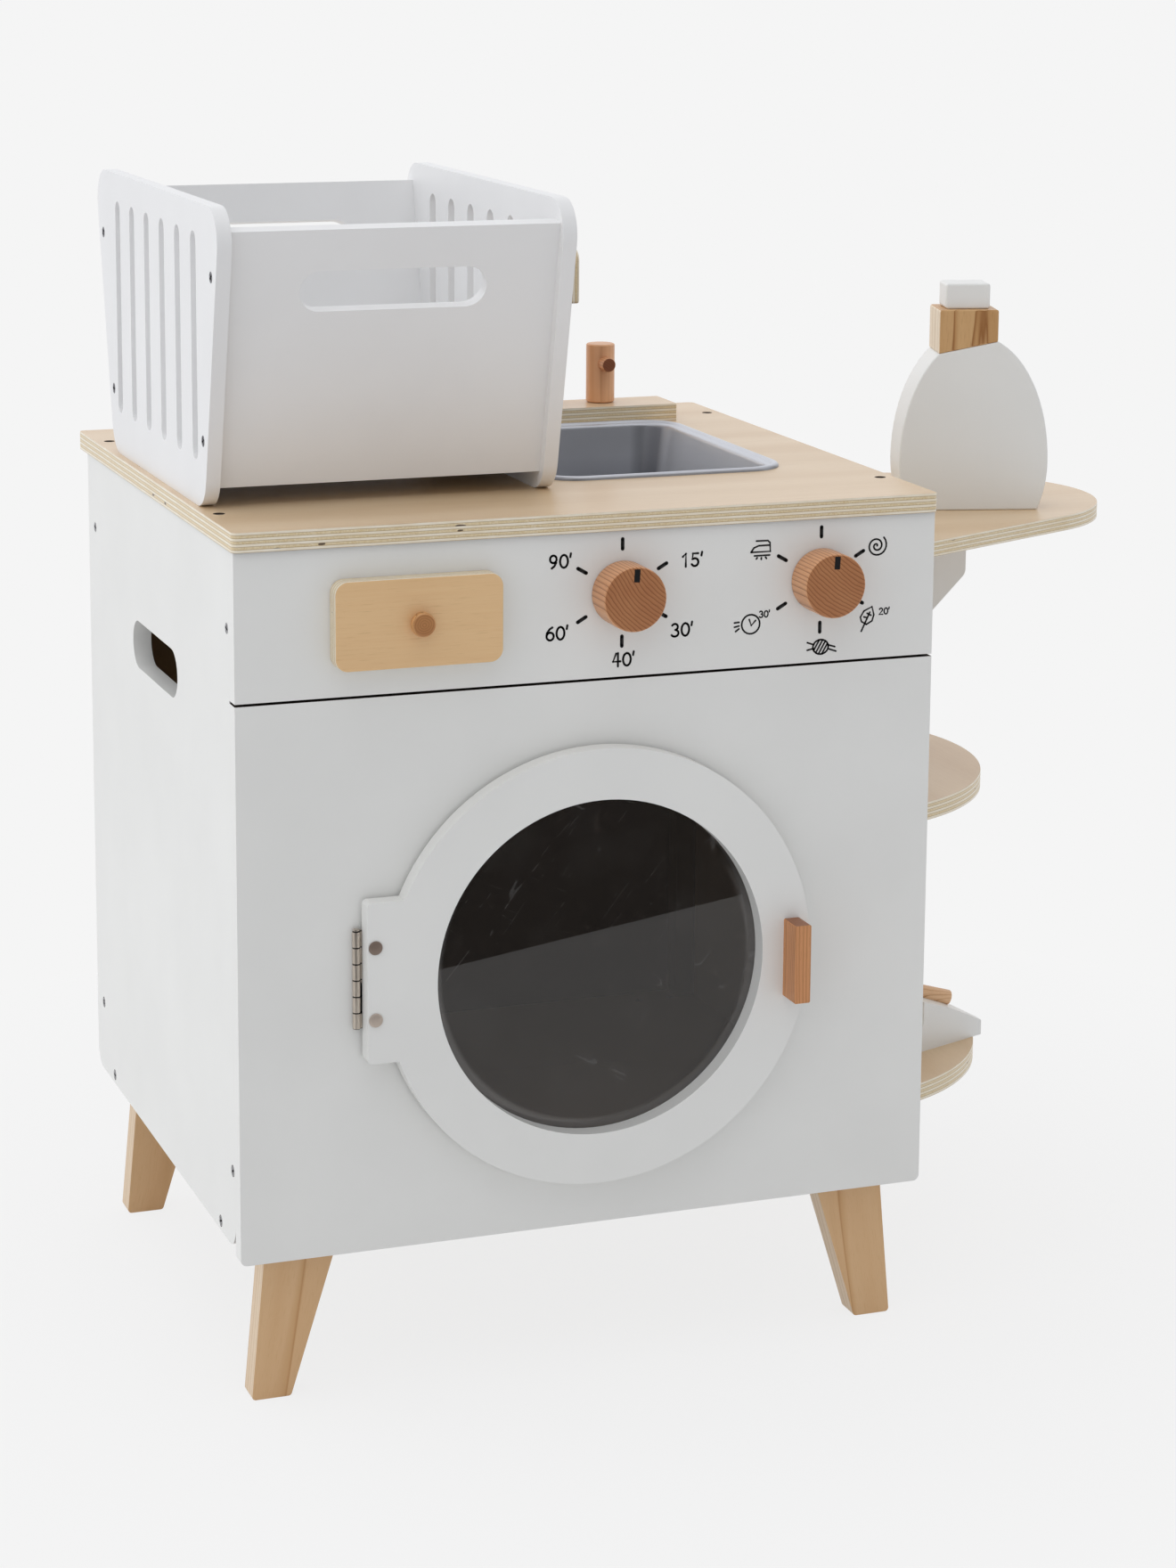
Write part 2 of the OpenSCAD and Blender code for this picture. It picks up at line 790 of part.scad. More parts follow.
// Rolled edge: a round bead that runs around the sink
module rolled_edge() {
    w = sink_w / 2 - rim_r;
    l = sink_l / 2 - rim_r;
    bend = sink_corner_r - rim_r;
    for (side = [-1, 1]) {
        translate([side * w, -l + bend, 0]) rotate([-90, 0, 0])
            cylinder(r = rim_r, h = 2 * (l - bend), $fn = 32);
        translate([-w + bend, side * l, 0]) rotate([0, 90, 0])
            cylinder(r = rim_r, h = 2 * (w - bend), $fn = 32);
    }
    for (quarter = [0 : 3]) {
        x = (quarter == 0 || quarter == 3) ? w - bend : bend - w;
        y = quarter < 2 ? l - bend : bend - l;
        translate([x, y, 0]) rotate([0, 0, 90 * quarter])
            rotate_extrude(angle = 90) translate([bend, 0]) circle(rim_r, $fn = 32);
    }
}

module sink() {
    color(STEEL) place() translate([sink_x, sink_y, top_z]) difference() {
        union() {
            bowl_block(0, sheet);
            // Flat flange that rests on the worktop
            linear_extrude(sheet) round_rect(
                [rim_r - sink_w / 2, rim_r - sink_l / 2],
                [sink_w / 2 - rim_r, sink_l / 2 - rim_r],
                sink_corner_r - rim_r
            );
            // Only the upper half of the bead shows above the worktop
            intersection() {
                rolled_edge();
                translate([-sink_w, -sink_l, 0]) cube([2 * sink_w, 2 * sink_l, rim_r]);
            }
        }
        bowl_block(sheet, sheet + 2 * over);
    }
}

module tap_ledge() {
    color(PLY) place() difference() {
        level(top_z, top_t) round_rect(
            [sink_x - ledge_w / 2, ledge_front],
            [sink_x + ledge_w / 2, ledge_front + ledge_l],
            ledge_r
        );
        for (x = [left_tap_x, right_tap_x]) {
            translate([x, tap_y, top_z - over]) cylinder(r = bolt_r + run_clear, h = top_t + 2 * over);
        }
    }
}

// Gooseneck cut from one board: a post, an arm and a short mouth that points down
module spout() {
    tip = spout_back - spout_reach;
    mouth = spout_post - mouth_step;
    top = ledge_z + spout_h;
    outline = round_outline(
        [
            [spout_back, ledge_z],
            [spout_back, top],
            [tip, top],
            [tip, top - spout_lip_h],
            [tip + mouth, top - spout_lip_h],
            [tip + mouth, top - spout_arm],
            [spout_back - spout_post, top - spout_arm],
            [spout_back - spout_post, ledge_z]
        ],
        [0, spout_bend_r, spout_lip_r, spout_mouth_r, spout_mouth_r, spout_mouth_r, spout_inner_r, 0]
    );
    color(PLY) place() facing_side(sink_x - spout_t / 2, spout_t) polygon(outline);
}

module tap(x) {
    base = ledge_z + slide_clear;
    difference() {
        translate([x, tap_y, base]) rotate_extrude() polygon([
            [0, 0],
            [tap_r - tap_edge, 0],
            [tap_r, tap_edge],
            [tap_r, tap_h - tap_edge],
            [tap_r - tap_edge, tap_h],
            [0, tap_h]
        ]);
        translate([x, tap_y, base - over]) cylinder(r = bolt_r + run_clear, h = bolt_grip + over);
        y_rod(x, ledge_z + peg_z, peg_r, tap_y - tap_r - over, tap_y + peg_seat);
    }
}

module tap_peg(x) {
    l = peg_seat + tap_r + peg_out;
    translate([x, tap_y + peg_seat, ledge_z + peg_z]) rotate([90, 0, 0]) rotate_extrude() polygon([
        [0, 0],
        [peg_r, 0],
        [peg_r, l - peg_edge],
        [peg_r - peg_edge, l],
        [0, l]
    ]);
}

// Bolt from a counterbore in the worktop's underside, through the ledge and into the tap
module tap_bolt(x) {
    head = cab_h + slide_clear;
    translate([x, tap_y, head]) {
        cylinder(r = bolt_head_r, h = bolt_head_t);
        cylinder(r = bolt_r, h = ledge_z + bolt_grip - head);
    }
}

module left_tap() {
    color(BEECH) place() tap(left_tap_x);
}

module left_tap_peg() {
    color(BEECH) place() tap_peg(left_tap_x);
}

module left_tap_bolt() {
    color(NICKEL) place() tap_bolt(left_tap_x);
}

module right_tap() {
    color(BEECH) place() tap(right_tap_x);
}

module right_tap_peg() {
    color(BEECH) place() tap_peg(right_tap_x);
}

module right_tap_bolt() {
    color(NICKEL) place() tap_bolt(right_tap_x);
}

// ---------- legs ----------

// Tapered plank that leans out towards its foot; mirrored for the right side
module leg(right, y) {
    outline = round_outline(
        [
            [foot_inset, -leg_h],
            [foot_inset + foot_w, -leg_h],
            [leg_top_inset + leg_top_w, side_lift],
            [leg_top_inset, side_lift]
        ],
        [foot_r, foot_r, 0, 0]
    );
    color(PINE) place() difference() {
        translate([right ? cab_w : 0, 0, 0]) mirror([right ? 1 : 0, 0, 0])
            facing_front(y, leg_t) polygon(outline);
        at_leg_screws() screw_hole();
    }
}

module leg_front_left() {
    leg(false, leg_inset);
}

module leg_front_right() {
    leg(true, leg_inset);
}

module leg_back_left() {
    leg(false, cab_d - leg_inset - leg_t);
}

module leg_back_right() {
    leg(true, cab_d - leg_inset - leg_t);
}

// ---------- shelves on the right side ----------

// Half of the ironing board's outline below its middle line, from the side panel to the tip
function board_half() =
    let (
        far = norm([board_tip_x, board_root_w / 2]),
        along = atan2(board_root_w / 2, board_tip_x),
        // Direction of the straight edge, which meets the round tip without a corner
        slope = along - asin(board_tip_r / far)
    )
    concat(
        [[0, -board_root_w / 2]],
        [for (a = [slope - 90 : 3 : 0]) [board_tip_x, 0] + board_tip_r * [cos(a), sin(a)]]
    );

module ironing_board() {
    half = board_half();
    other_half = [for (i = [len(half) - 1 : -1 : 0]) [half[i][0], -half[i][1]]];
    color(PLY) place() difference() {
        level(board_z - board_t, board_t) translate([cab_w, side_mid_y]) polygon(concat(half, other_half));
        at_shelf_screws() screw_hole();
    }
}

module round_shelf(z) {
    difference() {
        level(z - shelf_t, shelf_t) intersection() {
            translate([cab_w - shelf_sink, shelf_mid_y]) circle(shelf_r, $fn = 180);
            translate([cab_w, shelf_mid_y - shelf_r]) square([shelf_r, 2 * shelf_r]);
        }
        at_shelf_screws() screw_hole();
    }
}

module middle_shelf() {
    color(PLY) place() round_shelf(middle_z);
}

module bottom_shelf() {
    color(PLY) place() round_shelf(bottom_z);
}

// Upright gusset under the ironing board, cut back at 45 degrees down to the side panel
module board_bracket() {
    outline = round_outline(
        [
            [0, board_under_z],
            [0, bracket_foot_z],
            [bracket_l, board_under_z - bracket_lip],
            [bracket_l, board_under_z]
        ],
        [0, 0, 8, 0]
    );
    color(WHITE) place() difference() {
        facing_front(side_mid_y - bracket_t / 2, bracket_t) translate([cab_w, 0]) polygon(outline);
        at_shelf_screws() screw_hole();
    }
}

// ---------- screws ----------

module cabinet_screws() {
    color(NICKEL) place() {
        translate([0, 0, -screw_sink]) at_top_screws() screw(top_screw_l);
        at_side_screws(false) screw();
        at_side_screws(true) screw();
        at_shelf_screws() screw();
        at_leg_screws() screw();
    }
}

module hinge_screw_places() {
    for (side = [-1, 1]) {
        translate([hinge_x + leaf_w - hinge_screw_inset, -leaf_t, tab_z + side * hinge_l / 4])
            rotate([90, 0, 0]) children();
    }
}

module hinge_screws() {
    color(NICKEL) place() hinge_screw_places() screw(front_t - over);
}

// ---------- door ----------

// Ring with its hinge tab, drawn in X and Z
module door_outline() {
    difference() {
        union() {
            translate([door_x, door_z]) circle(door_r, $fn = 180);
            round_rect(
                [hinge_x + tab_edge, tab_z - tab_h / 2],
                [door_x - ring_mid_r + tab_tuck, tab_z + tab_h / 2],
                tab_r
            );
        }
        translate([door_x, door_z]) circle(window_r, $fn = 180);
    }
}

// Places of the two bolts in the tab
module at_tab_bolts() {
    for (side = [-1, 1]) {
        translate([hinge_x + bolt_x, 0, tab_z + side * bolt_pitch / 2]) children();
    }
}

// Places of the pane's screws, on a circle in the ring's overlap
module at_pane_screws() {
    for (i = [0 : pane_screw_count - 1]) {
        a = 360 * (i + 0.5) / pane_screw_count;
        reach = window_r + pane_lap / 2;
        translate([door_x + reach * cos(a), 0, door_z + reach * sin(a)]) children();
    }
}

module door_ring() {
    color(WHITE) place() difference() {
        facing_front(ring_front_y, door_t) door_outline();
        at_tab_bolts() y_rod(0, 0, tab_bolt_r, ring_front_y - over, 0);
        at_pane_screws() y_rod(0, 0, screw_r, -door_gap - pane_screw_l - over, 0);
        at_handle_screws() y_rod(0, 0, screw_r, ring_front_y - over, 0);
        at_handle_screws() y_rod(0, 0, screw_head_r, -door_gap - screw_head_t, 0);
    }
}

module window_pane() {
    color(TINT, 0.8) place() difference() {
        y_rod(door_x, door_z, pane_r, -door_gap, pane_t - door_gap, $fn = 180);
        at_pane_screws() y_rod(0, 0, screw_r, -door_gap - over, pane_t);
    }
}

module pane_screws() {
    back = pane_t - door_gap;
    color(NICKEL) place() at_pane_screws() {
        y_rod(0, 0, screw_r, -door_gap - pane_screw_l, back);
        y_rod(0, 0, pane_screw_head_r, back, back + pane_screw_head_t);
    }
}

// Places of the two screws behind the handle
module at_handle_screws() {
    for (side = [-1, 1]) translate([handle_x, 0, handle_z + side * handle_h / 4]) children();
}

module door_handle() {
    color(BEECH) place() difference() {
        facing_front(ring_front_y - handle_l, handle_l) round_rect(
            [handle_x - handle_w / 2, handle_z - handle_h / 2],
            [handle_x + handle_w / 2, handle_z + handle_h / 2],
            1
        );
        at_handle_screws() y_rod(0, 0, screw_r, ring_front_y - handle_l / 2, 0);
    }
}

module handle_screws() {
    color(NICKEL) place() at_handle_screws() {
        y_rod(0, 0, screw_r, ring_front_y - handle_l / 2, -door_gap);
        y_rod(0, 0, screw_head_r, -door_gap - screw_head_t, -door_gap);
    }
}

// Every second knuckle, from the first or from the second one up
module knuckle_row(first, r, grow) {
    for (i = [first : 2 : knuckles - 1]) {
        translate([hinge_x, hinge_y, tab_z - hinge_l / 2 + i * knuckle_l - grow])
            cylinder(r = r, h = knuckle_l + 2 * grow);
    }
}

// One leaf: its plate from y to y + leaf_t, its own knuckles, and room for the other leaf's
module hinge_leaf(first, y) {
    difference() {
        union() {
            translate([hinge_x, y, tab_z - hinge_l / 2]) cube([leaf_w, leaf_t, hinge_l]);
            knuckle_row(first, knuckle_r, -knuckle_clear / 2);
        }
        knuckle_row(1 - first, knuckle_r + knuckle_clear, knuckle_clear / 2);
        translate([hinge_x, hinge_y, tab_z - hinge_l / 2 - over])
            cylinder(r = pin_r + run_clear, h = hinge_l + 2 * over);
    }
}

module hinge_frame_leaf() {
    color(NICKEL) place() difference() {
        hinge_leaf(1, -leaf_t);
        hinge_screw_places() screw_hole(front_t);
    }
}

module hinge_door_leaf() {
    color(NICKEL) place() difference() {
        hinge_leaf(0, -door_gap);
        at_tab_bolts() y_rod(0, 0, tab_bolt_r, -door_gap - over, 0);
    }
}

module hinge_pin() {
    color(NICKEL) place() translate([hinge_x, hinge_y, tab_z - hinge_l / 2]) {
        cylinder(r = pin_r, h = hinge_l + 1);
        translate([0, 0, hinge_l + slide_clear]) cylinder(r = knuckle_r - 0.3, h = 1);
    }
}

module hinge_bolts() {
    color(NICKEL) place() at_tab_bolts() {
        y_rod(0, 0, tab_bolt_r, ring_front_y, leaf_t - door_gap);
        y_rod(0, 0, tab_bolt_head_r, ring_front_y - tab_bolt_head_t / 2, ring_front_y);
        translate([0, ring_front_y - tab_bolt_head_t / 2, 0]) rotate([90, 0, 0])
            cylinder(r1 = tab_bolt_head_r, r2 = tab_bolt_head_r - 1.2, h = tab_bolt_head_t / 2);
    }
}

module catch_magnet() {
    color(STEEL) place() y_rod(handle_x, door_z, magnet_r, 0, magnet_t);
}

module catch_plate() {
    color(STEEL) place() y_rod(handle_x, door_z, plate_r, -door_gap, plate_t - door_gap);
}

// ---------- drawer ----------

module drawer_front() {
    color(PLY) place() difference() {
        facing_front(-drawer_t - slide_clear, drawer_t) round_rect(
            [drawer_x - drawer_w / 2, drawer_z - drawer_h / 2],
            [drawer_x + drawer_w / 2, drawer_z + drawer_h / 2],
            drawer_r
        );
        y_rod(drawer_x, drawer_z, bolt_r, -drawer_t - over, over);
    }
}

module drawer_knob() {
    face = -drawer_t - slide_clear;
    rim = knob_r - knob_edge;
    color(BEECH) place() {
        translate([drawer_x, face, drawer_z]) rotate([90, 0, 0]) rotate_extrude() polygon(concat(
            [[0, 0], [rim - knob_neck, 0], [rim, knob_l / 3], [knob_r, knob_l / 2]],
            [for (a = [0 : 15 : 90]) [rim + knob_edge * cos(a), knob_l - knob_edge + knob_edge * sin(a)]],
            [[0, knob_l]]
        ));
        y_rod(drawer_x, drawer_z, bolt_r, face, -slide_clear);
    }
}

// Open tray behind the drawer's front
module drawer_tray() {
    color(PLY) place() translate([drawer_x - tray_w / 2, -slide_clear, tray_z]) difference() {
        cube([tray_w, tray_l, tray_h]);
        translate([tray_wall, tray_wall + tray_front, tray_wall])
            cube([tray_w - 2 * tray_wall, tray_l - 2 * tray_wall - tray_front, tray_h]);
    }
}

// Floor and two cheeks that carry the tray behind the fascia
module drawer_housing() {
    low = tray_z - slide_clear;
    l = tray_l + housing_over;
    left = drawer_x - opening_w / 2 - housing_t;
    color(RAW) place() translate([left, front_t, low - housing_t]) difference() {
        cube([opening_w + 2 * housing_t, l, opening_h + housing_t]);
        translate([housing_t, -over, housing_t]) cube([opening_w, l + 2 * over, opening_h + over]);
    }
}

// ---------- dials ----------

module dial(x) {
    rim = dial_r - dial_edge;
    translate([x, -slide_clear, dial_z]) rotate([90, 0, 0]) rotate_extrude() polygon(concat(
        [[bolt_r, 0]],
        [for (a = [-90 : 15 : 0]) [rim + dial_edge * cos(a), dial_edge + dial_edge * sin(a)]],
        [for (a = [0 : 15 : 90]) [rim + dial_edge * cos(a), dial_l - dial_edge + dial_edge * sin(a)]],
        [[0, dial_l], [0, bolt_grip], [bolt_r, bolt_grip]]
    ));
}

// Bolt from behind the fascia into the dial
module dial_bolt(x) {
    head = front_t + slide_clear;
    y_rod(x, dial_z, bolt_r, -slide_clear - bolt_grip, head + bolt_head_t);
    y_rod(x, dial_z, bolt_head_r, head, head + bolt_head_t);
}

module left_dial() {
    color(BEECH) place() dial(left_dial_x);
}

module left_dial_bolt() {
    color(NICKEL) place() dial_bolt(left_dial_x);
}

module right_dial() {
    color(BEECH) place() dial(right_dial_x);
}

module right_dial_bolt() {
    color(NICKEL) place() dial_bolt(right_dial_x);
}

// ---------- laundry basket ----------

// Moves to the basket's own frame: middle of its left side's foot on the worktop
module basket_place() {
    place() translate([basket_x, basket_mid_y, top_z]) children();
}

// Moves to the foot of the slanted front panel (side -1) or back panel (side 1)
module basket_slant(side) {
    edge = side * (basket_foot_l / 2 + basket_lift * tan(basket_lean));
    translate([0, edge, basket_lift]) rotate([-side * basket_lean, 0, 0]) children();
}

// Places of the screws in a basket side; children point into the basket
module at_basket_screws(x, out) {
    for (side = [-1, 1]) {
        for (share = [basket_screw_share, 1 - basket_screw_share]) {
            basket_slant(side) translate([x, -side * (basket_inset + basket_t / 2), basket_panel_h * share])
                rotate([0, out, 0]) children();
        }
    }
}

module basket_side(x, out) {
    outline = round_outline(
        [
            [-basket_foot_l / 2, 0],
            [basket_foot_l / 2, 0],
            [basket_top_l / 2, basket_h],
            [-basket_top_l / 2, basket_h]
        ],
        [basket_r, basket_r, basket_r, basket_r]
    );
    color(WHITE) basket_place() difference() {
        facing_side(x, basket_t) polygon(outline);
        for (i = [0 : vents - 1]) {
            y = (i - (vents - 1) / 2) * vent_pitch;
            facing_side(x - over, basket_t + 2 * over) translate([y, (vent_low + vent_high) / 2])
                rotate(90) stadium([0, 0], vent_high - vent_low, vent_w);
        }
        at_basket_screws(out < 0 ? 0 : basket_w, out) screw_hole();
    }
}

module basket_left_side() {
    basket_side(0, -90);
}

module basket_right_side() {
    basket_side(basket_w - basket_t, 90);
}

module basket_end(side) {
    inner = side < 0 ? basket_inset : -basket_inset - basket_t;
    color(WHITE) basket_place() difference() {
        basket_slant(side) facing_front(inner, basket_t) difference() {
            translate([basket_t, 0]) square([basket_inner_w, basket_panel_h]);
            stadium([basket_w / 2, basket_slot_z], basket_slot_l, basket_slot_h);
        }
        at_basket_screws(0, -90) screw_hole();
        at_basket_screws(basket_w, 90) screw_hole();
    }
}

module basket_front() {
    basket_end(-1);
}

module basket_back() {
    basket_end(1);
}

// Floor board with slanted ends, fitted between the four panels
module basket_floor() {
    spread = tan(basket_lean);
    across = (basket_inset + basket_t) / cos(basket_lean);
    low = basket_foot_l / 2 + basket_floor_z * spread - across;
    high = low + basket_t * spread;
    color(WHITE) basket_place() translate([basket_t, 0, basket_floor_z]) rotate([90, 0, 90])
        linear_extrude(basket_inner_w)
        polygon([[-low, 0], [low, 0], [high, basket_t], [-high, basket_t]]);
}

module basket_screws() {
    color(NICKEL) basket_place() {
        at_basket_screws(0, -90) screw();
        at_basket_screws(basket_w, 90) screw();
    }
}

// ---------- detergent bottle ----------

// Height of the bottle's upper oval above its foot, at a distance from its middle
function bottle_height(x) = bottle_belly_z + bottle_arch * sqrt(1 - pow(2 * x / bottle_w, 2));

module bottle_place() {
    place() translate([bottle_x, bottle_y, board_z]) rotate(bottle_turn) children();
}

// Outline of the body: two half ovals that share the widest line, cut flat at the foot
module bottle_outline() {
    low = -asin(bottle_belly_z / bottle_base_arch);
    half = bottle_w / 2;
    polygon(concat(
        [for (a = [low : (0 - low) / 6 : 0]) [half * cos(a), bottle_belly_z + bottle_base_arch * sin(a)]],
        [for (a = [5 : 5 : 175]) [half * cos(a), bottle_belly_z + bottle_arch * sin(a)]],
        [for (a = [0 : low / 6 : low]) [-half * cos(a), bottle_belly_z + bottle_base_arch * sin(a)]]
    ));
}

// Sloping cut through the shoulder, where the collar stands; keeps what lies above it
module above_shoulder() {
    translate([collar_left, bottle_height(-collar_left)]) rotate(collar_slope)
        translate([-bottle_w, 0]) square([3 * bottle_w, bottle_w]);
}

module bottle_body() {
    color(WHITE) bottle_place() facing_front(-bottle_t / 2, bottle_t) difference() {
        bottle_outline();
        above_shoulder();
    }
}

module bottle_collar() {
    color(PINE) bottle_place() facing_front(-bottle_t / 2, bottle_t) intersection() {
        above_shoulder();
        round_rect([collar_left, 0], [collar_right, collar_top_z], 1.5);
    }
}

module bottle_cap() {
    color(WHITE) bottle_place() facing_front(-cap_l / 2, cap_l) round_rect(
        [-collar_offset - cap_w / 2, collar_top_z],
        [-collar_offset + cap_w / 2, collar_top_z + cap_h],
        2
    );
}

// ---------- iron ----------

module iron_place() {
    place() translate([iron_x, iron_y, bottom_z]) children();
}

// The dowel lies on the sloping top of the body, from the back towards the nose
module iron_dowel(r, l) {
    translate([dowel_top[0], 0, dowel_top[1]]) rotate([0, 90 + dowel_slope, 0]) cylinder(r = r, h = l);
}

// Body: a pointed plan and a sloping side profile, with a gap for the fingers
module iron_body() {
    plan = round_outline(
        [
            [0, -iron_w / 2],
            [shoulder_l, -iron_w / 2],
            [iron_l, -nose_w / 2],
            [iron_l, nose_w / 2],
            [shoulder_l, iron_w / 2],
            [0, iron_w / 2]
        ],
        [10, 60, 2, 2, 60, 10]
    );
    profile = round_outline(
        [
            [0, 0],
            [iron_l, 0],
            [iron_l, nose_h],
            [iron_l - slope_l, nose_h + slope_h],
            [iron_l / 2, nose_h + brow_h],
            [0, iron_h]
        ],
        [1, 1, 2, 30, 0, 4]
    );
    finger = round_outline(
        [
            [finger_start, finger_z],
            [finger_start + finger_l, finger_z],
            [finger_start + finger_l, iron_h + over],
            [finger_start, iron_h + over]
        ],
        [8, 8, 0, 0]
    );
    color(WHITE) iron_place() difference() {
        intersection() {
            linear_extrude(iron_h + over) polygon(plan);
            facing_front(-iron_w, 2 * iron_w) polygon(profile);
        }
        facing_front(-iron_w, 2 * iron_w) polygon(finger);
        iron_dowel(dowel_r, iron_l);
    }
}

module iron_handle() {
    color(BEECH) iron_place() iron_dowel(dowel_r, dowel_l);
}

lower_front();
fascia();
left_side();
right_side();
back_panel();
bottom_panel();
corner_battens();
worktop();
sink();
tap_ledge();
spout();
leg_front_left();
leg_front_right();
leg_back_left();
leg_back_right();
ironing_board();
board_bracket();
middle_shelf();
bottom_shelf();
drawer_housing();
hinge_frame_leaf();
hinge_pin();
catch_magnet();
cabinet_screws();
hinge_screws();
door_ring();
window_pane();
pane_screws();
door_handle();
handle_screws();
hinge_door_leaf();
hinge_bolts();
catch_plate();
drawer_front();
drawer_knob();
drawer_tray();
left_dial();
left_dial_bolt();
right_dial();
right_dial_bolt();
left_tap();
left_tap_peg();
left_tap_bolt();
right_tap();
right_tap_peg();
right_tap_bolt();
basket_left_side();
basket_right_side();
basket_front();
basket_back();
basket_floor();
basket_screws();
bottle_body();
bottle_collar();
bottle_cap();
iron_body();
iron_handle();
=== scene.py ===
# Looks of the toy washing machine: painted boards, plywood, pine and beech, plated steel, a
# pressed sink and a smoked window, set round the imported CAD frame. Metres in the frame, and
# millimetres from the cabinet's left front bottom corner wherever a value says mm.
import json
import math

import bmesh
import bpy
from mathutils import Euler, Matrix, Vector

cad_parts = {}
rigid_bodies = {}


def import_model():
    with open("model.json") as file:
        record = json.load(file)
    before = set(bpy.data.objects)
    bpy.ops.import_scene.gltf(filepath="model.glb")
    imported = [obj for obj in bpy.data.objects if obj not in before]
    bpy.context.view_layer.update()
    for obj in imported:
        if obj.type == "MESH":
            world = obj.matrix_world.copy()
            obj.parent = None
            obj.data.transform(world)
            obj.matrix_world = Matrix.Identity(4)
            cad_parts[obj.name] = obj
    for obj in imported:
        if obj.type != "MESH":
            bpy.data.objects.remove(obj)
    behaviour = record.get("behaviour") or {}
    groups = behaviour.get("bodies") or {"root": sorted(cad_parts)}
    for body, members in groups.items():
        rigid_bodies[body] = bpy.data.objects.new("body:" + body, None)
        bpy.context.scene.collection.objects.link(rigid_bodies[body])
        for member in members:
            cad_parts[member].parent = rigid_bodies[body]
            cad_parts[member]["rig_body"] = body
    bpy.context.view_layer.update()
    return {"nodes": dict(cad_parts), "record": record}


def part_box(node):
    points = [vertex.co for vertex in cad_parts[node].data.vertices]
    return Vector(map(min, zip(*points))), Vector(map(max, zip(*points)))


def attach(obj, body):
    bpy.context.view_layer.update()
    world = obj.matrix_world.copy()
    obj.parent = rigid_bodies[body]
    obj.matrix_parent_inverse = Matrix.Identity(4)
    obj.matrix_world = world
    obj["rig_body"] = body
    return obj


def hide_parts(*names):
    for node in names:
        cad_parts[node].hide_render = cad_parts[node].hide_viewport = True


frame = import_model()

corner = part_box("lower_front")[0]
MM = 0.001


def at(x, y, z):
    """A place in the cabinet's millimetres, as a point in the frame."""
    return corner + Vector((x, y, z)) * MM


# ---------------------------------------------------------------- sizes, in mm
cabinet = {"w": 450, "h": 438, "board": 12, "fascia": 90.5}
worktop_t = 12
top_z = cabinet["h"] + worktop_t
sink = {"x": 316, "y": 218.5, "w": 168, "l": 220, "depth": 58, "corner": 28, "bead": 2.6, "sheet": 1.2}
door = {"x": 226, "z": 169, "opening": 118, "pane_screws": 109.5, "window": 106}
knuckles = 6
dials = {"left": 242, "right": 373, "z": 399.5}
basket = {"x": 3.5, "y": 200, "w": 223.5, "h": 184, "foot": 242, "top": 328}
# screws through the worktop, in X and Y, and through each side panel, in Y and Z
top_screws = [(x, y) for x in (8.4, 441.6) for y in (64, 358)]
side_screws = [(17, 390), (17, 55), (48, 12), (338, 12), (368.5, 390), (368.5, 55)]


# ---------------------------------------------------------------- nodes and colours
def rgb(code):
    """sRGB hex to linear colour with alpha."""
    parts = [int(code[i : i + 2], 16) / 255 for i in (1, 3, 5)]
    return tuple(c / 12.92 if c <= 0.04045 else ((c + 0.055) / 1.055) ** 2.4 for c in parts) + (1.0,)


def add(tree, kind, inputs=None, stops=None, **settings):
    """Adds one node and sets its properties and colour stops. Each input gets a value, a socket's
    link, or a link from a node's first output."""
    node = tree.nodes.new(kind)
    for name, value in settings.items():
        setattr(node, name, value)
    if stops:
        while len(node.color_ramp.elements) < len(stops):
            node.color_ramp.elements.new(0.5)
        for element, (place, code) in zip(node.color_ramp.elements, stops):
            element.position = place
            element.color = rgb(code)
    for socket, value in (inputs or {}).items():
        source = value.outputs[0] if isinstance(value, bpy.types.Node) else value
        if isinstance(source, bpy.types.NodeSocket):
            tree.links.new(source, node.inputs[socket])
        else:
            node.inputs[socket].default_value = source
    return node


def start(name):
    """A fresh material, its tree and the coordinates of the piece."""
    material = bpy.data.materials.new(name)
    material.use_nodes = True
    tree = material.node_tree
    tree.nodes.clear()
    return material, tree, add(tree, "ShaderNodeTexCoord").outputs


def surface(material, inputs):
    """Gives a material a shader with these inputs."""
    shader = add(material.node_tree, "ShaderNodeBsdfPrincipled", inputs)
    add(material.node_tree, "ShaderNodeOutputMaterial", {"Surface": shader})
    return material


def local(tree, place, centre=(0, 0, 0), turn=(0, 0, 0), stretch=(1, 1, 1)):
    """Piece coordinates in mm about a centre, turned, and stretched along its axes."""
    inputs = {"Vector": place["Object"], "Location": Vector(centre), "Rotation": turn}
    inputs["Scale"] = [MM * s for s in stretch]
    return add(tree, "ShaderNodeMapping", inputs, vector_type="TEXTURE")


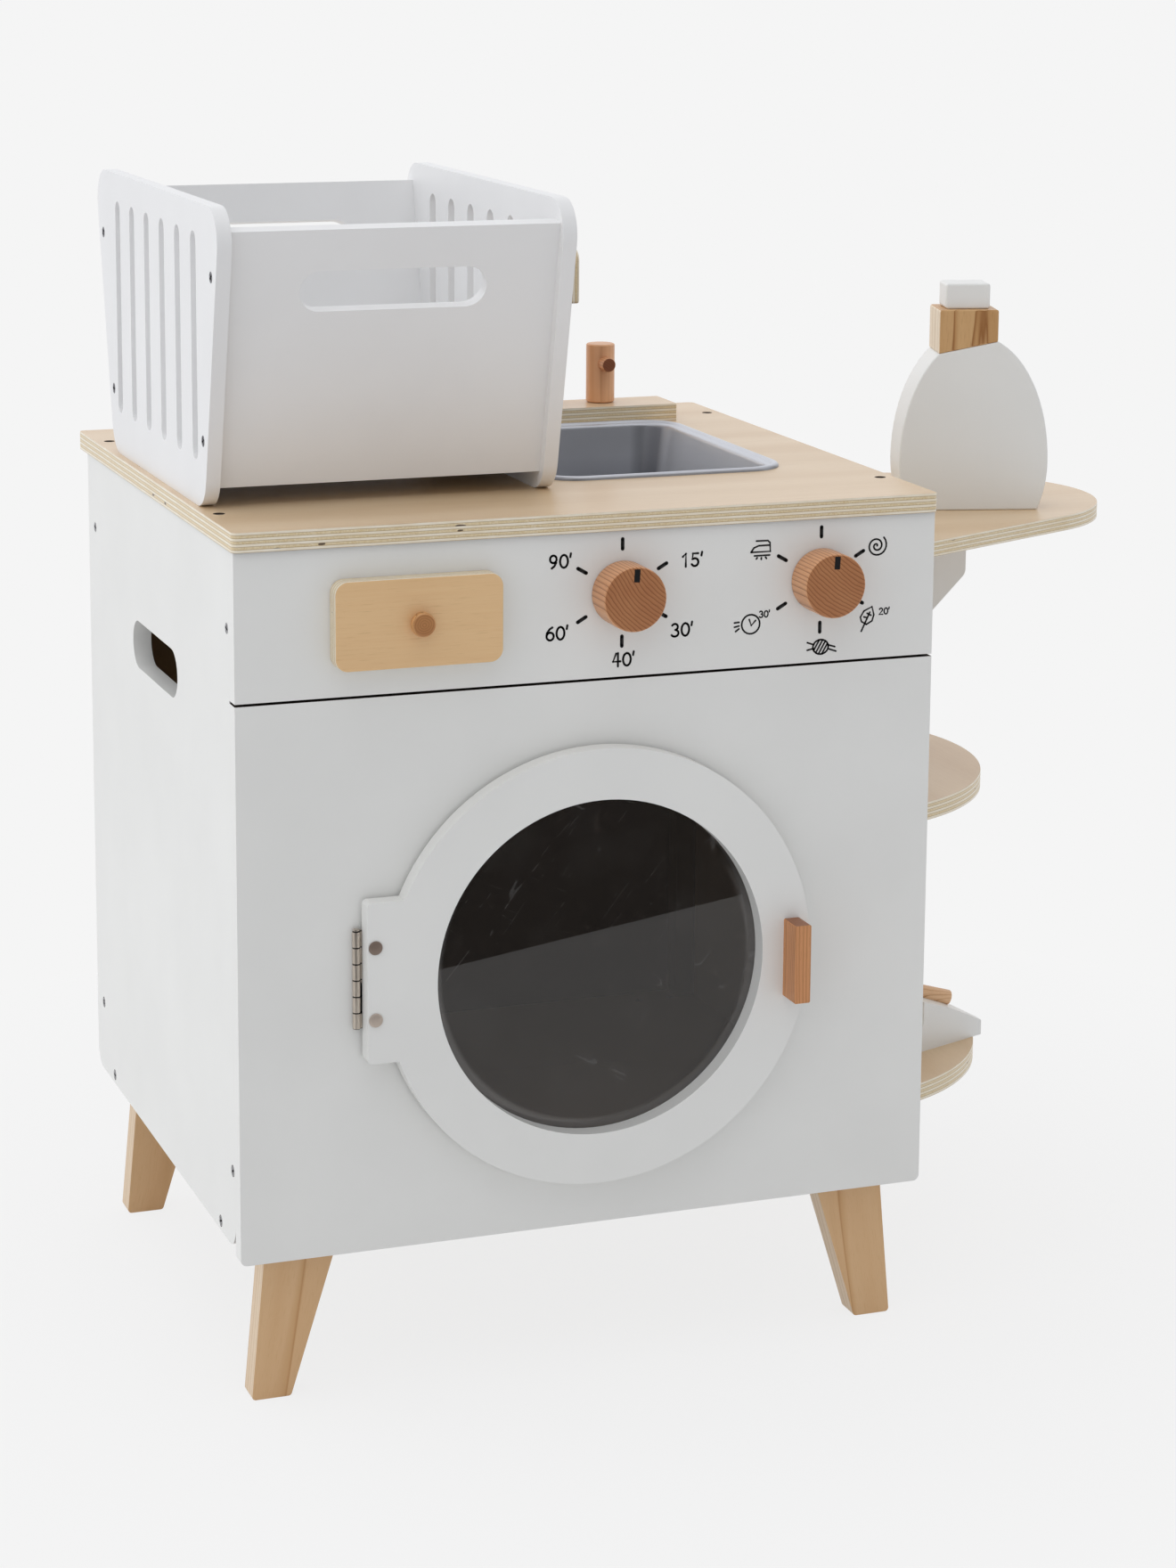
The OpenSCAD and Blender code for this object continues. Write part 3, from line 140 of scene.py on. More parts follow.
# ---------------------------------------------------------------- materials
# each noise is drawn in millimetres, so that its scale is 1 over the width of its features
def paint(name, code, shade, roughness=0.42, metallic=0.0):
    """Satin lacquer sprayed on board: nearly even, with a faint orange peel and a soft gloss. With
    a metallic share it is a dulled or nickel-plated head, or a dark head that is painted shade in its
    recess."""
    material, tree, place = start(name)
    mm = local(tree, place)
    cloud = add(tree, "ShaderNodeTexNoise", {"Vector": mm, "Scale": 1 / 90, "Detail": 3})
    colour = add(tree, "ShaderNodeValToRGB", {"Fac": cloud}, [(0.3, shade), (0.7, code)])
    gloss = add(tree, "ShaderNodeTexNoise", {"Vector": mm, "Scale": 1 / 25, "Detail": 2})
    span = {"Value": gloss, "To Min": roughness - 0.05, "To Max": roughness + 0.05}
    sheen = add(tree, "ShaderNodeMapRange", span)
    # peel 1.6 mm across, drawn a little coarser than the real one so that it shows
    peel = add(tree, "ShaderNodeTexNoise", {"Vector": mm, "Scale": 1 / 1.6, "Detail": 2})
    relief = add(tree, "ShaderNodeBump", {"Height": peel, "Distance": 0.02 * MM, "Strength": 0.5})
    inputs = {"Base Color": colour, "Metallic": metallic, "Roughness": sheen, "Normal": relief}
    return surface(material, inputs)


def solid_wood(name, tones, centre, turn=(0, 0, 0), ring=2.2, bend=2.5, roughness=0.5, end=None, fleck=0.0):
    """Sawn wood under clear lacquer: growth rings about a pith line, fine pores along the grain
    and a darker end grain. The grain runs along the turned Z axis."""
    light, middle, dark = tones
    material, tree, place = start(name)
    along = local(tree, place, centre, turn, (1, 1, 14))
    # rings a few millimetres wide about the pith, which wander along the grain
    parts = add(tree, "ShaderNodeSeparateXYZ", {"Vector": local(tree, place, centre, turn)}).outputs
    flat = add(tree, "ShaderNodeCombineXYZ", {"X": parts[0], "Y": parts[1]})
    radius = add(tree, "ShaderNodeVectorMath", {0: flat}, operation="LENGTH").outputs["Value"]
    wander = add(tree, "ShaderNodeTexNoise", {"Vector": along, "Scale": 1 / 16, "Detail": 2})
    wander = add(tree, "ShaderNodeMath", {0: wander, 1: bend * ring * 2}, operation="MULTIPLY")
    bent = add(tree, "ShaderNodeMath", {0: radius, 1: wander}, operation="ADD")
    count = add(tree, "ShaderNodeMath", {0: bent, 1: ring}, operation="DIVIDE")
    rings = add(tree, "ShaderNodeMath", {0: count}, operation="FRACT")
    year = [(0.0, light), (0.55, light), (0.86, middle), (0.94, dark), (1.0, light)]
    colour = add(tree, "ShaderNodeValToRGB", {"Fac": rings}, year)
    # broad tone, 18 mm wide and long in the grain
    tone = add(tree, "ShaderNodeTexNoise", {"Vector": along, "Scale": 1 / 18, "Detail": 3})
    tone = add(tree, "ShaderNodeMath", {0: tone, 1: 0.5}, operation="MULTIPLY")
    toned = {0: tone, 6: colour, 7: rgb(middle)}
    colour = add(tree, "ShaderNodeMix", toned, data_type="RGBA", blend_type="MULTIPLY").outputs[2]
    # pores 0.4 mm wide, drawn coarser than real ones so that they show
    fine = local(tree, place, centre, turn, (1, 1, 22))
    pores = add(
        tree, "ShaderNodeTexNoise", {"Vector": fine, "Scale": 1 / 0.45, "Detail": 2, "Roughness": 0.6}
    )
    pores = add(tree, "ShaderNodeMapRange", {"Value": pores, "From Min": 0.56, "From Max": 0.7})
    depth = add(tree, "ShaderNodeMath", {0: pores, 1: 0.35 + fleck}, operation="MULTIPLY")
    colour = add(tree, "ShaderNodeMix", {0: depth, 6: colour, 7: rgb(dark)}, data_type="RGBA").outputs[2]
    if end:
        facing = {0: place["Normal"], 1: Euler(turn).to_matrix() @ Vector((0, 0, 1))}
        facing = add(tree, "ShaderNodeVectorMath", facing, operation="DOT_PRODUCT").outputs["Value"]
        facing = add(tree, "ShaderNodeMath", {0: facing}, operation="ABSOLUTE")
        ends = add(tree, "ShaderNodeMapRange", {"Value": facing, "From Min": 0.75, "From Max": 0.95})
        sawn = {0: 1.0, 6: colour, 7: rgb(end)}
        sawn = add(tree, "ShaderNodeMix", sawn, data_type="RGBA", blend_type="MULTIPLY").outputs[2]
        colour = add(tree, "ShaderNodeMix", {0: ends, 6: colour, 7: sawn}, data_type="RGBA").outputs[2]
    sunk = add(tree, "ShaderNodeMath", {0: pores, 1: -0.6}, operation="MULTIPLY")
    raised = add(tree, "ShaderNodeMath", {0: rings, 1: 0.3}, operation="MULTIPLY")
    height = add(tree, "ShaderNodeMath", {0: sunk, 1: raised}, operation="ADD")
    relief = add(tree, "ShaderNodeBump", {"Height": height, "Distance": 0.05 * MM, "Strength": 0.5})
    # the lacquer is a clear film, which pales the wood where the view grazes it
    film = {"Coat Weight": 0.25, "Coat Roughness": 0.25}
    return surface(material, {"Base Color": colour, "Roughness": roughness, "Normal": relief, **film})


def veneer(name, tones, turn=(0, 0, 0), figure=70, contrast=0.2):
    """Rotary-cut face veneer under satin lacquer: nearly even, with a broad soft cloud, a faint
    figure and fine pores. The grain runs along the turned X axis."""
    light, middle, dark = tones
    material, tree, place = start(name)
    centre = (0, 0, 0)
    along = local(tree, place, centre, turn, (6, 1, 1))
    wave = {"Vector": along, "Scale": 0.4 / figure, "Distortion": 4.0, "Detail": 2.0, "Detail Scale": 0.4}
    wave = add(tree, "ShaderNodeTexWave", wave, wave_type="BANDS", bands_direction="Y").outputs["Fac"]
    wave = add(tree, "ShaderNodeMath", {0: wave, 1: contrast}, operation="MULTIPLY")
    cloud = add(tree, "ShaderNodeTexNoise", {"Vector": along, "Scale": 1 / 42, "Detail": 4})
    cloud = add(tree, "ShaderNodeMath", {0: cloud, 1: 1 - contrast}, operation="MULTIPLY")
    both = add(tree, "ShaderNodeMath", {0: wave, 1: cloud}, operation="ADD")
    colour = add(tree, "ShaderNodeValToRGB", {"Fac": both}, [(0.3, middle), (0.65, light)])
    # threads of the grain, 1.4 mm wide and 40 times as long
    threads = local(tree, place, centre, turn, (40, 1, 1))
    threads = add(tree, "ShaderNodeTexNoise", {"Vector": threads, "Scale": 1 / 1.4, "Detail": 2})
    threads = add(tree, "ShaderNodeMath", {0: threads, 1: 0.22}, operation="MULTIPLY")
    threaded = {0: threads, 6: colour, 7: rgb(middle)}
    colour = add(tree, "ShaderNodeMix", threaded, data_type="RGBA", blend_type="MULTIPLY").outputs[2]
    # pores 0.6 mm wide, drawn coarser than real ones so that they show
    fine = local(tree, place, centre, turn, (24, 1, 1))
    pores = add(
        tree, "ShaderNodeTexNoise", {"Vector": fine, "Scale": 1 / 0.6, "Detail": 2, "Roughness": 0.6}
    )
    pores = add(tree, "ShaderNodeMapRange", {"Value": pores, "From Min": 0.6, "From Max": 0.75})
    depth = add(tree, "ShaderNodeMath", {0: pores, 1: 0.3}, operation="MULTIPLY")
    colour = add(tree, "ShaderNodeMix", {0: depth, 6: colour, 7: rgb(dark)}, data_type="RGBA").outputs[2]
    sunk = add(tree, "ShaderNodeMath", {0: pores, 1: -1.0}, operation="MULTIPLY")
    relief = add(tree, "ShaderNodeBump", {"Height": sunk, "Distance": 0.03 * MM, "Strength": 0.4})
    film = {"Coat Weight": 0.35, "Coat Roughness": 0.25}
    return surface(material, {"Base Color": colour, "Roughness": 0.42, "Normal": relief, **film})


def ply_edge(name, low, thickness, axis=(0, 0, 1)):
    """Sawn and lacquered edge of plywood: pale long-grain plies, browner cross plies with short
    end grain, dark glue lines and a few small gaps. Counted from low along the axis."""
    material, tree, place = start(name)
    plies = 7
    mm = local(tree, place, low)
    # the layers sway by a twentieth of the thickness
    sway = add(tree, "ShaderNodeTexNoise", {"Vector": mm, "Scale": 1 / 60, "Detail": 2})
    sway = add(tree, "ShaderNodeMath", {0: sway, 1: 0.05}, operation="MULTIPLY")
    along = add(tree, "ShaderNodeVectorMath", {0: mm, 1: axis}, operation="DOT_PRODUCT").outputs["Value"]
    level = add(tree, "ShaderNodeMath", {0: along, 1: thickness}, operation="DIVIDE")
    level = add(tree, "ShaderNodeMath", {0: level, 1: sway}, operation="ADD")
    level = add(tree, "ShaderNodeMath", {0: level, 1: 0.025}, operation="SUBTRACT")
    count = add(tree, "ShaderNodeMath", {0: level, 1: plies}, operation="MULTIPLY")
    pair = add(tree, "ShaderNodeMath", {0: count, 1: 0.5}, operation="MULTIPLY")
    pair = add(tree, "ShaderNodeMath", {0: pair}, operation="FRACT")
    odd = add(tree, "ShaderNodeMath", {0: pair, 1: 0.5}, operation="GREATER_THAN")
    fibre = add(tree, "ShaderNodeTexNoise", {"Vector": mm, "Scale": 1 / 14, "Detail": 3})
    long_ply = add(tree, "ShaderNodeValToRGB", {"Fac": fibre}, [(0.3, "#EFE2C9"), (0.7, "#F7EFDD")])
    short = {"Vector": mm, "Scale": 1 / 1.1, "Detail": 3, "Roughness": 0.7}
    short = add(tree, "ShaderNodeTexNoise", short)
    cross_ply = add(tree, "ShaderNodeValToRGB", {"Fac": short}, [(0.3, "#D8BF8E"), (0.7, "#EEDFBE")])
    colour = add(tree, "ShaderNodeMix", {0: odd, 6: long_ply, 7: cross_ply}, data_type="RGBA").outputs[2]
    # a glue line fills the first fifth of each ply
    inside = add(tree, "ShaderNodeMath", {0: count}, operation="FRACT")
    glue = add(tree, "ShaderNodeMath", {0: inside, 1: 0.2}, operation="LESS_THAN")
    glue = add(tree, "ShaderNodeMath", {0: glue, 1: 0.7}, operation="MULTIPLY")
    glued = {0: glue, 6: colour, 7: rgb("#A68659")}
    colour = add(tree, "ShaderNodeMix", glued, data_type="RGBA").outputs[2]
    # gaps in the cross plies, a few millimetres long
    longer = local(tree, place, low, (0, 0, 0), (3, 3, 1))
    gap = add(tree, "ShaderNodeTexNoise", {"Vector": longer, "Scale": 1 / 5.5, "Detail": 1})
    gap = add(tree, "ShaderNodeMath", {0: gap, 1: 0.745}, operation="GREATER_THAN")
    gap = add(tree, "ShaderNodeMath", {0: gap, 1: odd}, operation="MULTIPLY")
    gap = add(tree, "ShaderNodeMath", {0: gap, 1: 0.9}, operation="MULTIPLY")
    hollow = {0: gap, 6: colour, 7: rgb("#4A3222")}
    colour = add(tree, "ShaderNodeMix", hollow, data_type="RGBA").outputs[2]
    sunk = add(tree, "ShaderNodeMath", {0: odd, 1: -0.5}, operation="MULTIPLY")
    sawn = add(tree, "ShaderNodeTexNoise", {"Vector": mm, "Scale": 1 / 0.8, "Detail": 2})
    height = add(tree, "ShaderNodeMath", {0: sunk, 1: sawn}, operation="ADD")
    relief = add(tree, "ShaderNodeBump", {"Height": height, "Distance": 0.05 * MM, "Strength": 0.5})
    film = {"Coat Weight": 0.4, "Coat Roughness": 0.35}
    return surface(material, {"Base Color": colour, "Roughness": 0.5, "Normal": relief, **film})


def metal(name, code, dark, roughness, brush=(1, 1, 1), size=1.5, tint=None):
    """Sheet or turned metal with a fine worked surface: streaks along the brushed direction.
    A tint is given its tree, coordinates and colour, and paints shade into the colour where it falls."""
    material, tree, place = start(name)
    streak = {"Vector": local(tree, place, stretch=brush), "Scale": 1 / size, "Detail": 3, "Roughness": 0.6}
    streak = add(tree, "ShaderNodeTexNoise", streak)
    colour = add(tree, "ShaderNodeValToRGB", {"Fac": streak}, [(0.3, dark), (0.7, code)])
    if tint:
        colour = tint(tree, place, colour)
    span = {"Value": streak, "To Min": roughness - 0.06, "To Max": roughness + 0.08}
    sheen = add(tree, "ShaderNodeMapRange", span)
    relief = add(tree, "ShaderNodeBump", {"Height": streak, "Distance": 0.01 * MM, "Strength": 0.3})
    return surface(material, {"Base Color": colour, "Metallic": 1.0, "Roughness": sheen, "Normal": relief})


def sink_steel():
    """Drawn steel sheet with a satin finish. Painted shade darkens it from the rim down to the floor
    and in the upright corners, and a painted highlight brightens the long side walls."""
    material, tree, place = start("satin_sink_steel")
    mm = local(tree, place)
    rim = at(0, 0, top_z).z
    height = add(tree, "ShaderNodeSeparateXYZ", {"Vector": place["Object"]}).outputs[2]
    span = {"Value": height, "From Min": rim - sink["depth"] * MM, "From Max": rim}
    height = add(tree, "ShaderNodeMapRange", span)
    # painted shade: the colour goes from bright at the rim to dark at the floor
    painted_shade_to_rim = [
        (0.0, "#4F5057"), (0.12, "#7E8087"), (0.35, "#B4B6BD"), (0.65, "#D2D4DA"), (0.95, "#D6D8DE"),
    ]
    colour = add(tree, "ShaderNodeValToRGB", {"Fac": height}, painted_shade_to_rim)
    cloud = add(tree, "ShaderNodeTexNoise", {"Vector": mm, "Scale": 1 / 30, "Detail": 3})
    cloud = add(tree, "ShaderNodeMath", {0: cloud, 1: 0.2}, operation="MULTIPLY")
    clouded = {0: cloud, 6: colour, 7: rgb("#B4B5BC")}
    colour = add(tree, "ShaderNodeMix", clouded, data_type="RGBA", blend_type="MULTIPLY").outputs[2]
    # painted shade in the upright corners, and a painted highlight on the long walls that face left and
    # right
    normal = add(tree, "ShaderNodeNewGeometry").outputs["Normal"]
    facing = add(tree, "ShaderNodeSeparateXYZ", {"Vector": normal}).outputs
    across = add(tree, "ShaderNodeMath", {0: facing[0]}, operation="ABSOLUTE")
    deep = add(tree, "ShaderNodeMath", {0: facing[1]}, operation="ABSOLUTE")
    in_corner = add(tree, "ShaderNodeMath", {0: across, 1: deep}, operation="MULTIPLY")
    corner_shade = add(tree, "ShaderNodeMapRange", {"Value": in_corner, "From Max": 0.5, "To Max": 0.75})
    corner_shaded = {0: corner_shade, 6: colour, 7: rgb("#5A5B61")}
    colour = add(tree, "ShaderNodeMix", corner_shaded, data_type="RGBA", blend_type="MULTIPLY").outputs[2]
    # painted highlight on the side walls
    span = {"Value": across, "From Min": 0.8, "From Max": 0.97, "To Max": 0.6}
    wall_highlight = {0: add(tree, "ShaderNodeMapRange", span), 6: colour, 7: rgb("#F2F3F6")}
    colour = add(tree, "ShaderNodeMix", wall_highlight, data_type="RGBA").outputs[2]
    gloss = add(tree, "ShaderNodeTexNoise", {"Vector": mm, "Scale": 1 / 12, "Detail": 2})
    sheen = add(tree, "ShaderNodeMapRange", {"Value": gloss, "To Min": 0.27, "To Max": 0.37})
    satin = add(tree, "ShaderNodeTexNoise", {"Vector": mm, "Scale": 1 / 0.8, "Detail": 2})
    relief = add(tree, "ShaderNodeBump", {"Height": satin, "Distance": 0.01 * MM, "Strength": 0.4})
    return surface(material, {"Base Color": colour, "Metallic": 0.6, "Roughness": sheen, "Normal": relief})


def knuckle_gap_shade(foot, pitch, front):
    """Painted shade in the gaps between the knuckles of a hinge, 0.8 mm wide at each one's ends, in front
    of a plane.
    """

    def tint(tree, place, colour):
        parts = add(tree, "ShaderNodeSeparateXYZ", {"Vector": place["Object"]}).outputs
        share = add(tree, "ShaderNodeMath", {0: parts[2], 1: foot}, operation="SUBTRACT")
        share = add(tree, "ShaderNodeMath", {0: share, 1: pitch}, operation="DIVIDE")
        share = add(tree, "ShaderNodeMath", {0: share}, operation="FRACT")
        reach = add(tree, "ShaderNodeMath", {0: share, 1: 0.5}, operation="SUBTRACT")
        reach = add(tree, "ShaderNodeMath", {0: reach}, operation="ABSOLUTE")
        seam = {0: reach, 1: 0.5 - 0.4 * MM / pitch}
        seam = add(tree, "ShaderNodeMath", seam, operation="GREATER_THAN")
        barrel = add(tree, "ShaderNodeMath", {0: parts[1], 1: front}, operation="LESS_THAN")
        in_gap = add(tree, "ShaderNodeMath", {0: seam, 1: barrel}, operation="MULTIPLY")
        # painted shade: near black in the gaps
        gap_dark = {0: in_gap, 6: colour, 7: rgb("#2E2A27")}
        return add(tree, "ShaderNodeMix", gap_dark, data_type="RGBA").outputs[2]

    return tint


def raw_board(name, code, dark, pale=None, edge=0.0):
    """Bare fibreboard: flecked fibres and no gloss. Given a pale tone, the board shows it left of the
    edge, and right of the edge its other tones are painted shade."""
    material, tree, place = start(name)
    fibres = {"Vector": local(tree, place), "Scale": 1 / 1.8, "Detail": 4, "Roughness": 0.7}
    fibres = add(tree, "ShaderNodeTexNoise", fibres)
    colour = add(tree, "ShaderNodeValToRGB", {"Fac": fibres}, [(0.2, dark), (0.8, code)])
    if pale:
        x = add(tree, "ShaderNodeSeparateXYZ", {"Vector": place["Object"]}).outputs[0]
        bare = add(tree, "ShaderNodeMath", {0: x, 1: edge}, operation="LESS_THAN")
        colour = add(tree, "ShaderNodeMix", {0: bare, 6: colour, 7: rgb(pale)}, data_type="RGBA").outputs[2]
    relief = add(tree, "ShaderNodeBump", {"Height": fibres, "Distance": 0.01 * MM, "Strength": 0.2})
    return surface(material, {"Base Color": colour, "Roughness": 0.85, "Normal": relief})


def scratches(tree, place):
    """Where the acrylic is scratched. Scratches are level lines of noise stretched 14 times, kept
    only in patches; a real one is 0.05 mm wide and is drawn about 0.3 mm wide so that it shows."""
    scratched = None
    for turn, size in ((0.5, 11), (-0.9, 14), (2.2, 12)):
        long = local(tree, place, (0, 0, 0), (0, turn, 0), (14, 1, 1))
        level = add(tree, "ShaderNodeTexNoise", {"Vector": long, "Scale": 1 / size, "Detail": 0})
        level = add(tree, "ShaderNodeMath", {0: level, 1: 0.5}, operation="SUBTRACT")
        level = add(tree, "ShaderNodeMath", {0: level}, operation="ABSOLUTE")
        line = add(tree, "ShaderNodeMath", {0: level, 1: 0.0045}, operation="LESS_THAN")
        patch = {"Vector": local(tree, place, (turn, 0, 0)), "Scale": 1 / 13, "Detail": 1}
        patch = add(tree, "ShaderNodeTexNoise", patch)
        patch = add(tree, "ShaderNodeMath", {0: patch, 1: 0.6}, operation="GREATER_THAN")
        line = add(tree, "ShaderNodeMath", {0: line, 1: patch}, operation="MULTIPLY")
        if scratched:
            line = add(tree, "ShaderNodeMath", {0: scratched, 1: line}, operation="MAXIMUM")
        scratched = line
    return scratched


def painted_rim_reflection(tree, place):
    """A painted reflection of the door ring's bore: a faint grey veil on the sheet's lower rim, just inside
    the opening.
    """
    # a huge scale takes the sheet's depth away
    flat = {"Vector": place["Object"], "Location": at(door["x"], 0, door["z"]), "Scale": (MM, 1e6, MM)}
    flat = add(tree, "ShaderNodeMapping", flat, vector_type="TEXTURE")
    reach = add(tree, "ShaderNodeVectorMath", {0: flat}, operation="LENGTH").outputs["Value"]
    rim = {"Value": reach, "From Min": door["window"] - 7, "From Max": door["window"] - 4, "To Max": 0.12}
    rim = add(tree, "ShaderNodeMapRange", rim)
    height = add(tree, "ShaderNodeSeparateXYZ", {"Vector": flat}).outputs[2]
    low = add(tree, "ShaderNodeMapRange", {"Value": height, "From Min": 60, "From Max": 20})
    return add(tree, "ShaderNodeMath", {0: rim, 1: low}, operation="MULTIPLY")


def smoked_acrylic():
    """Clear acrylic sheet with a smoke tint: sharp reflections, a dark view through it, a few
    hair-thin scratches and specks of dust, and a painted reflection of the ring's bore on its rim."""
    material, tree, place = start("smoked_acrylic")
    sheet = {"Base Color": rgb("#9C9086"), "Transmission Weight": 1.0, "IOR": 1.49, "Roughness": 0.0}
    shader = add(tree, "ShaderNodeBsdfPrincipled", sheet)
    dust = {"Vector": local(tree, place), "Scale": 1 / 2.2, "Detail": 1, "Roughness": 0.3}
    dust = add(tree, "ShaderNodeTexNoise", dust)
    dust = add(tree, "ShaderNodeMath", {0: dust, 1: 0.81}, operation="GREATER_THAN")
    marked = add(tree, "ShaderNodeMath", {0: scratches(tree, place), 1: dust}, operation="MAXIMUM")
    marked = add(tree, "ShaderNodeMath", {0: marked, 1: 0.05}, operation="MULTIPLY")
    haze = add(tree, "ShaderNodeTexNoise", {"Vector": local(tree, place), "Scale": 1 / 45, "Detail": 2})
    span = {"Value": haze, "From Min": 0.5, "From Max": 0.8, "To Max": 0.012}
    veil = {0: add(tree, "ShaderNodeMapRange", span), 1: marked}
    veil = add(tree, "ShaderNodeMath", veil, operation="ADD")
    # a grey veil on the lower rim: a painted reflection of the ring's bore
    veil = add(tree, "ShaderNodeMath", {0: veil, 1: painted_rim_reflection(tree, place)}, operation="ADD")
    grey = add(tree, "ShaderNodeBsdfDiffuse", {"Color": rgb("#D8D8D8")})
    marked_and_rim_lit = add(tree, "ShaderNodeMixShader", {0: veil, 1: shader, 2: grey})
    # lamps light the drum's space straight through the sheet
    rays = add(tree, "ShaderNodeLightPath").outputs
    passing = {0: rays["Is Shadow Ray"], 1: rays["Is Diffuse Ray"]}
    passing = add(tree, "ShaderNodeMath", passing, operation="MAXIMUM")
    clear = add(tree, "ShaderNodeBsdfTransparent", {"Color": rgb("#DCD5CD")})
    mixed = add(tree, "ShaderNodeMixShader", {0: passing, 1: marked_and_rim_lit, 2: clear})
    add(tree, "ShaderNodeOutputMaterial", {"Surface": mixed})
    return material


def ink():
    """Black screen-print ink on the painted fascia, slightly uneven in its cover."""
    material, tree, place = start("screen_print_ink")
    cover = {"Vector": local(tree, place), "Scale": 1 / 1.2, "Detail": 2}
    cover = add(tree, "ShaderNodeTexNoise", cover)
    colour = add(tree, "ShaderNodeValToRGB", {"Fac": cover}, [(0.3, "#0C0C0D"), (0.75, "#19191C")])
    return surface(material, {"Base Color": colour, "Roughness": 0.5})


quarter = math.pi / 2
WHITE = paint("satin_white_lacquer", "#EFEFEC", "#EBEBE8")
BASKET_WHITE = paint("basket_white_lacquer", "#F0F0F0", "#ECECEC", 0.4)
DARK = raw_board("dark_fibreboard", "#463A31", "#3F342C")
BROWN_BOARD = raw_board("brown_fibreboard", "#D2C8B8", "#C6BCAC")
# inside the back panel: bare board left of x 110 mm, and nearly black right of it, painted shade where the
# window looks in
SHADED_BACK_BOARD = raw_board("back_fibreboard", "#2C2420", "#251E1A", "#C8A880", at(110, 0, 0).x)
INK = ink()
PLY_TONES = ("#E6CDAA", "#DCBF98", "#B08A5E")
TOP_VENEER = veneer("birch_veneer", PLY_TONES)
SIDE_VENEER = veneer("birch_veneer_crosswise", PLY_TONES, (0, 0, quarter))
PLATE_VENEER = veneer("drawer_veneer", ("#EFCA98", "#E2B986", "#BC9059"), figure=30, contrast=0.35)
UPRIGHT_VENEER = veneer("spout_veneer", PLY_TONES, (0, -quarter, 0))
STEEL = metal("nickel_plated_steel", "#DAD0C5", "#C6BCB0", 0.28, (1, 1, 8), 0.6)
SCREW_STEEL = metal("zinc_plated_steel", "#B8B8BA", "#8C8C90", 0.35)
GREY_SCREW = metal("grey_zinc_screws", "#8C8C90", "#66666B", 0.4)
# a near-black head that is painted shade in its recess
SHADED_SCREW_STEEL = paint("screw_head_painted_shade", "#4A382C", "#38291F", 0.6, 0.2)
BOLT_STEEL = paint("dulled_bolt_head", "#8E7C70", "#7D6B60", 0.55, 0.35)
BRIGHT_BOLT = paint("nickel_bolt_head", "#CDBFB3", "#BFB0A3", 0.5, 0.35)
SINK_STEEL = sink_steel()
GLASS = smoked_acrylic()


# ---------------------------------------------------------------- mesh helpers
def settle(obj):
    """Turns an object with live modifiers into a plain mesh."""
    graph = bpy.context.evaluated_depsgraph_get()
    mesh = bpy.data.meshes.new_from_object(obj.evaluated_get(graph), depsgraph=graph)
    obj.modifiers.clear()
    obj.data = mesh
    return obj


def mesh_from(tool, name):
    """The mesh of a finished edit."""
    mesh = bpy.data.meshes.new(name)
    tool.to_mesh(mesh)
    tool.free()
    return mesh


def merged_copy(node):
    """A CAD node's mesh with its triangles joined and its flat faces whole."""
    tool = bmesh.new()
    tool.from_mesh(frame["nodes"][node].data)
    bmesh.ops.remove_doubles(tool, verts=tool.verts, dist=3e-6)
    bmesh.ops.dissolve_limit(tool, angle_limit=math.radians(0.6), verts=tool.verts, edges=tool.edges)
    mesh = mesh_from(tool, node)
    # the loose triangles' own normals no longer fit the whole faces
    stale = mesh.attributes.get("custom_normal")
    if stale:
        mesh.attributes.remove(stale)
    return mesh


def linked_object(name, data):
    """A new object in the scene."""
    obj = bpy.data.objects.new(name, data)
    bpy.context.scene.collection.objects.link(obj)
    return obj


def new_object(name, mesh, materials):
    """An object at the origin with its materials in order."""
    obj = linked_object(name, mesh)
    mesh.materials.clear()
    for material in materials:
        mesh.materials.append(material)
    return obj


def finish_piece(obj, body, nodes):
    """Puts a piece on its body, and hides the nodes that it stands for."""
    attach(obj, body)
    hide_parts(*nodes)
    return obj


def soften(obj, radius_mm, segments, angle):
    """Breaks the edges sharper than an angle, as sanding does."""
    for polygon in obj.data.polygons:
        polygon.use_smooth = True
    bevel = obj.modifiers.new("soft_edges", "BEVEL")
    bevel.width = radius_mm * MM
    bevel.segments = segments
    bevel.limit_method = "ANGLE"
    bevel.angle_limit = math.radians(angle)
    bevel.harden_normals = True
    bevel.miter_outer = "MITER_ARC"
    bevel.loop_slide = False
    return settle(obj)


def body_of_node(node):
    """The CAD body that a node rides on."""
    return frame["nodes"][node]["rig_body"]


def slot_of_node(node):
    """The record's material slot that holds a node."""
    for entry in frame["record"]["materials"]:
        if node in entry.get("nodes", []):
            return entry["slot"]
    return None


def dress(node, radius_mm, materials, choose=None, segments=3, angle=35):
    """Stands for a CAD board with the same solid, its edges softened and its faces finished."""
    obj = new_object(node + "_finished", merged_copy(node), materials)
    soften(obj, radius_mm, segments, angle)
    if choose:
        for polygon in obj.data.polygons:
            polygon.material_index = choose(polygon)
    slot = slot_of_node(node)
    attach(obj, body_of_node(node))
    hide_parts(node)
    return obj


def faces_along(axis):
    """0 for the broad faces of a board along an axis, 1 for its edges."""
    direction = Vector(axis)
    return lambda polygon: 0 if abs(polygon.normal.dot(direction)) > 0.8 else 1


def sharp_by_angle(mesh, degrees=30):
    """Smooth shading that keeps edges sharper than an angle."""
    for polygon in mesh.polygons:
        polygon.use_smooth = True
    mesh.set_sharp_from_angle(angle=math.radians(degrees))
    return mesh


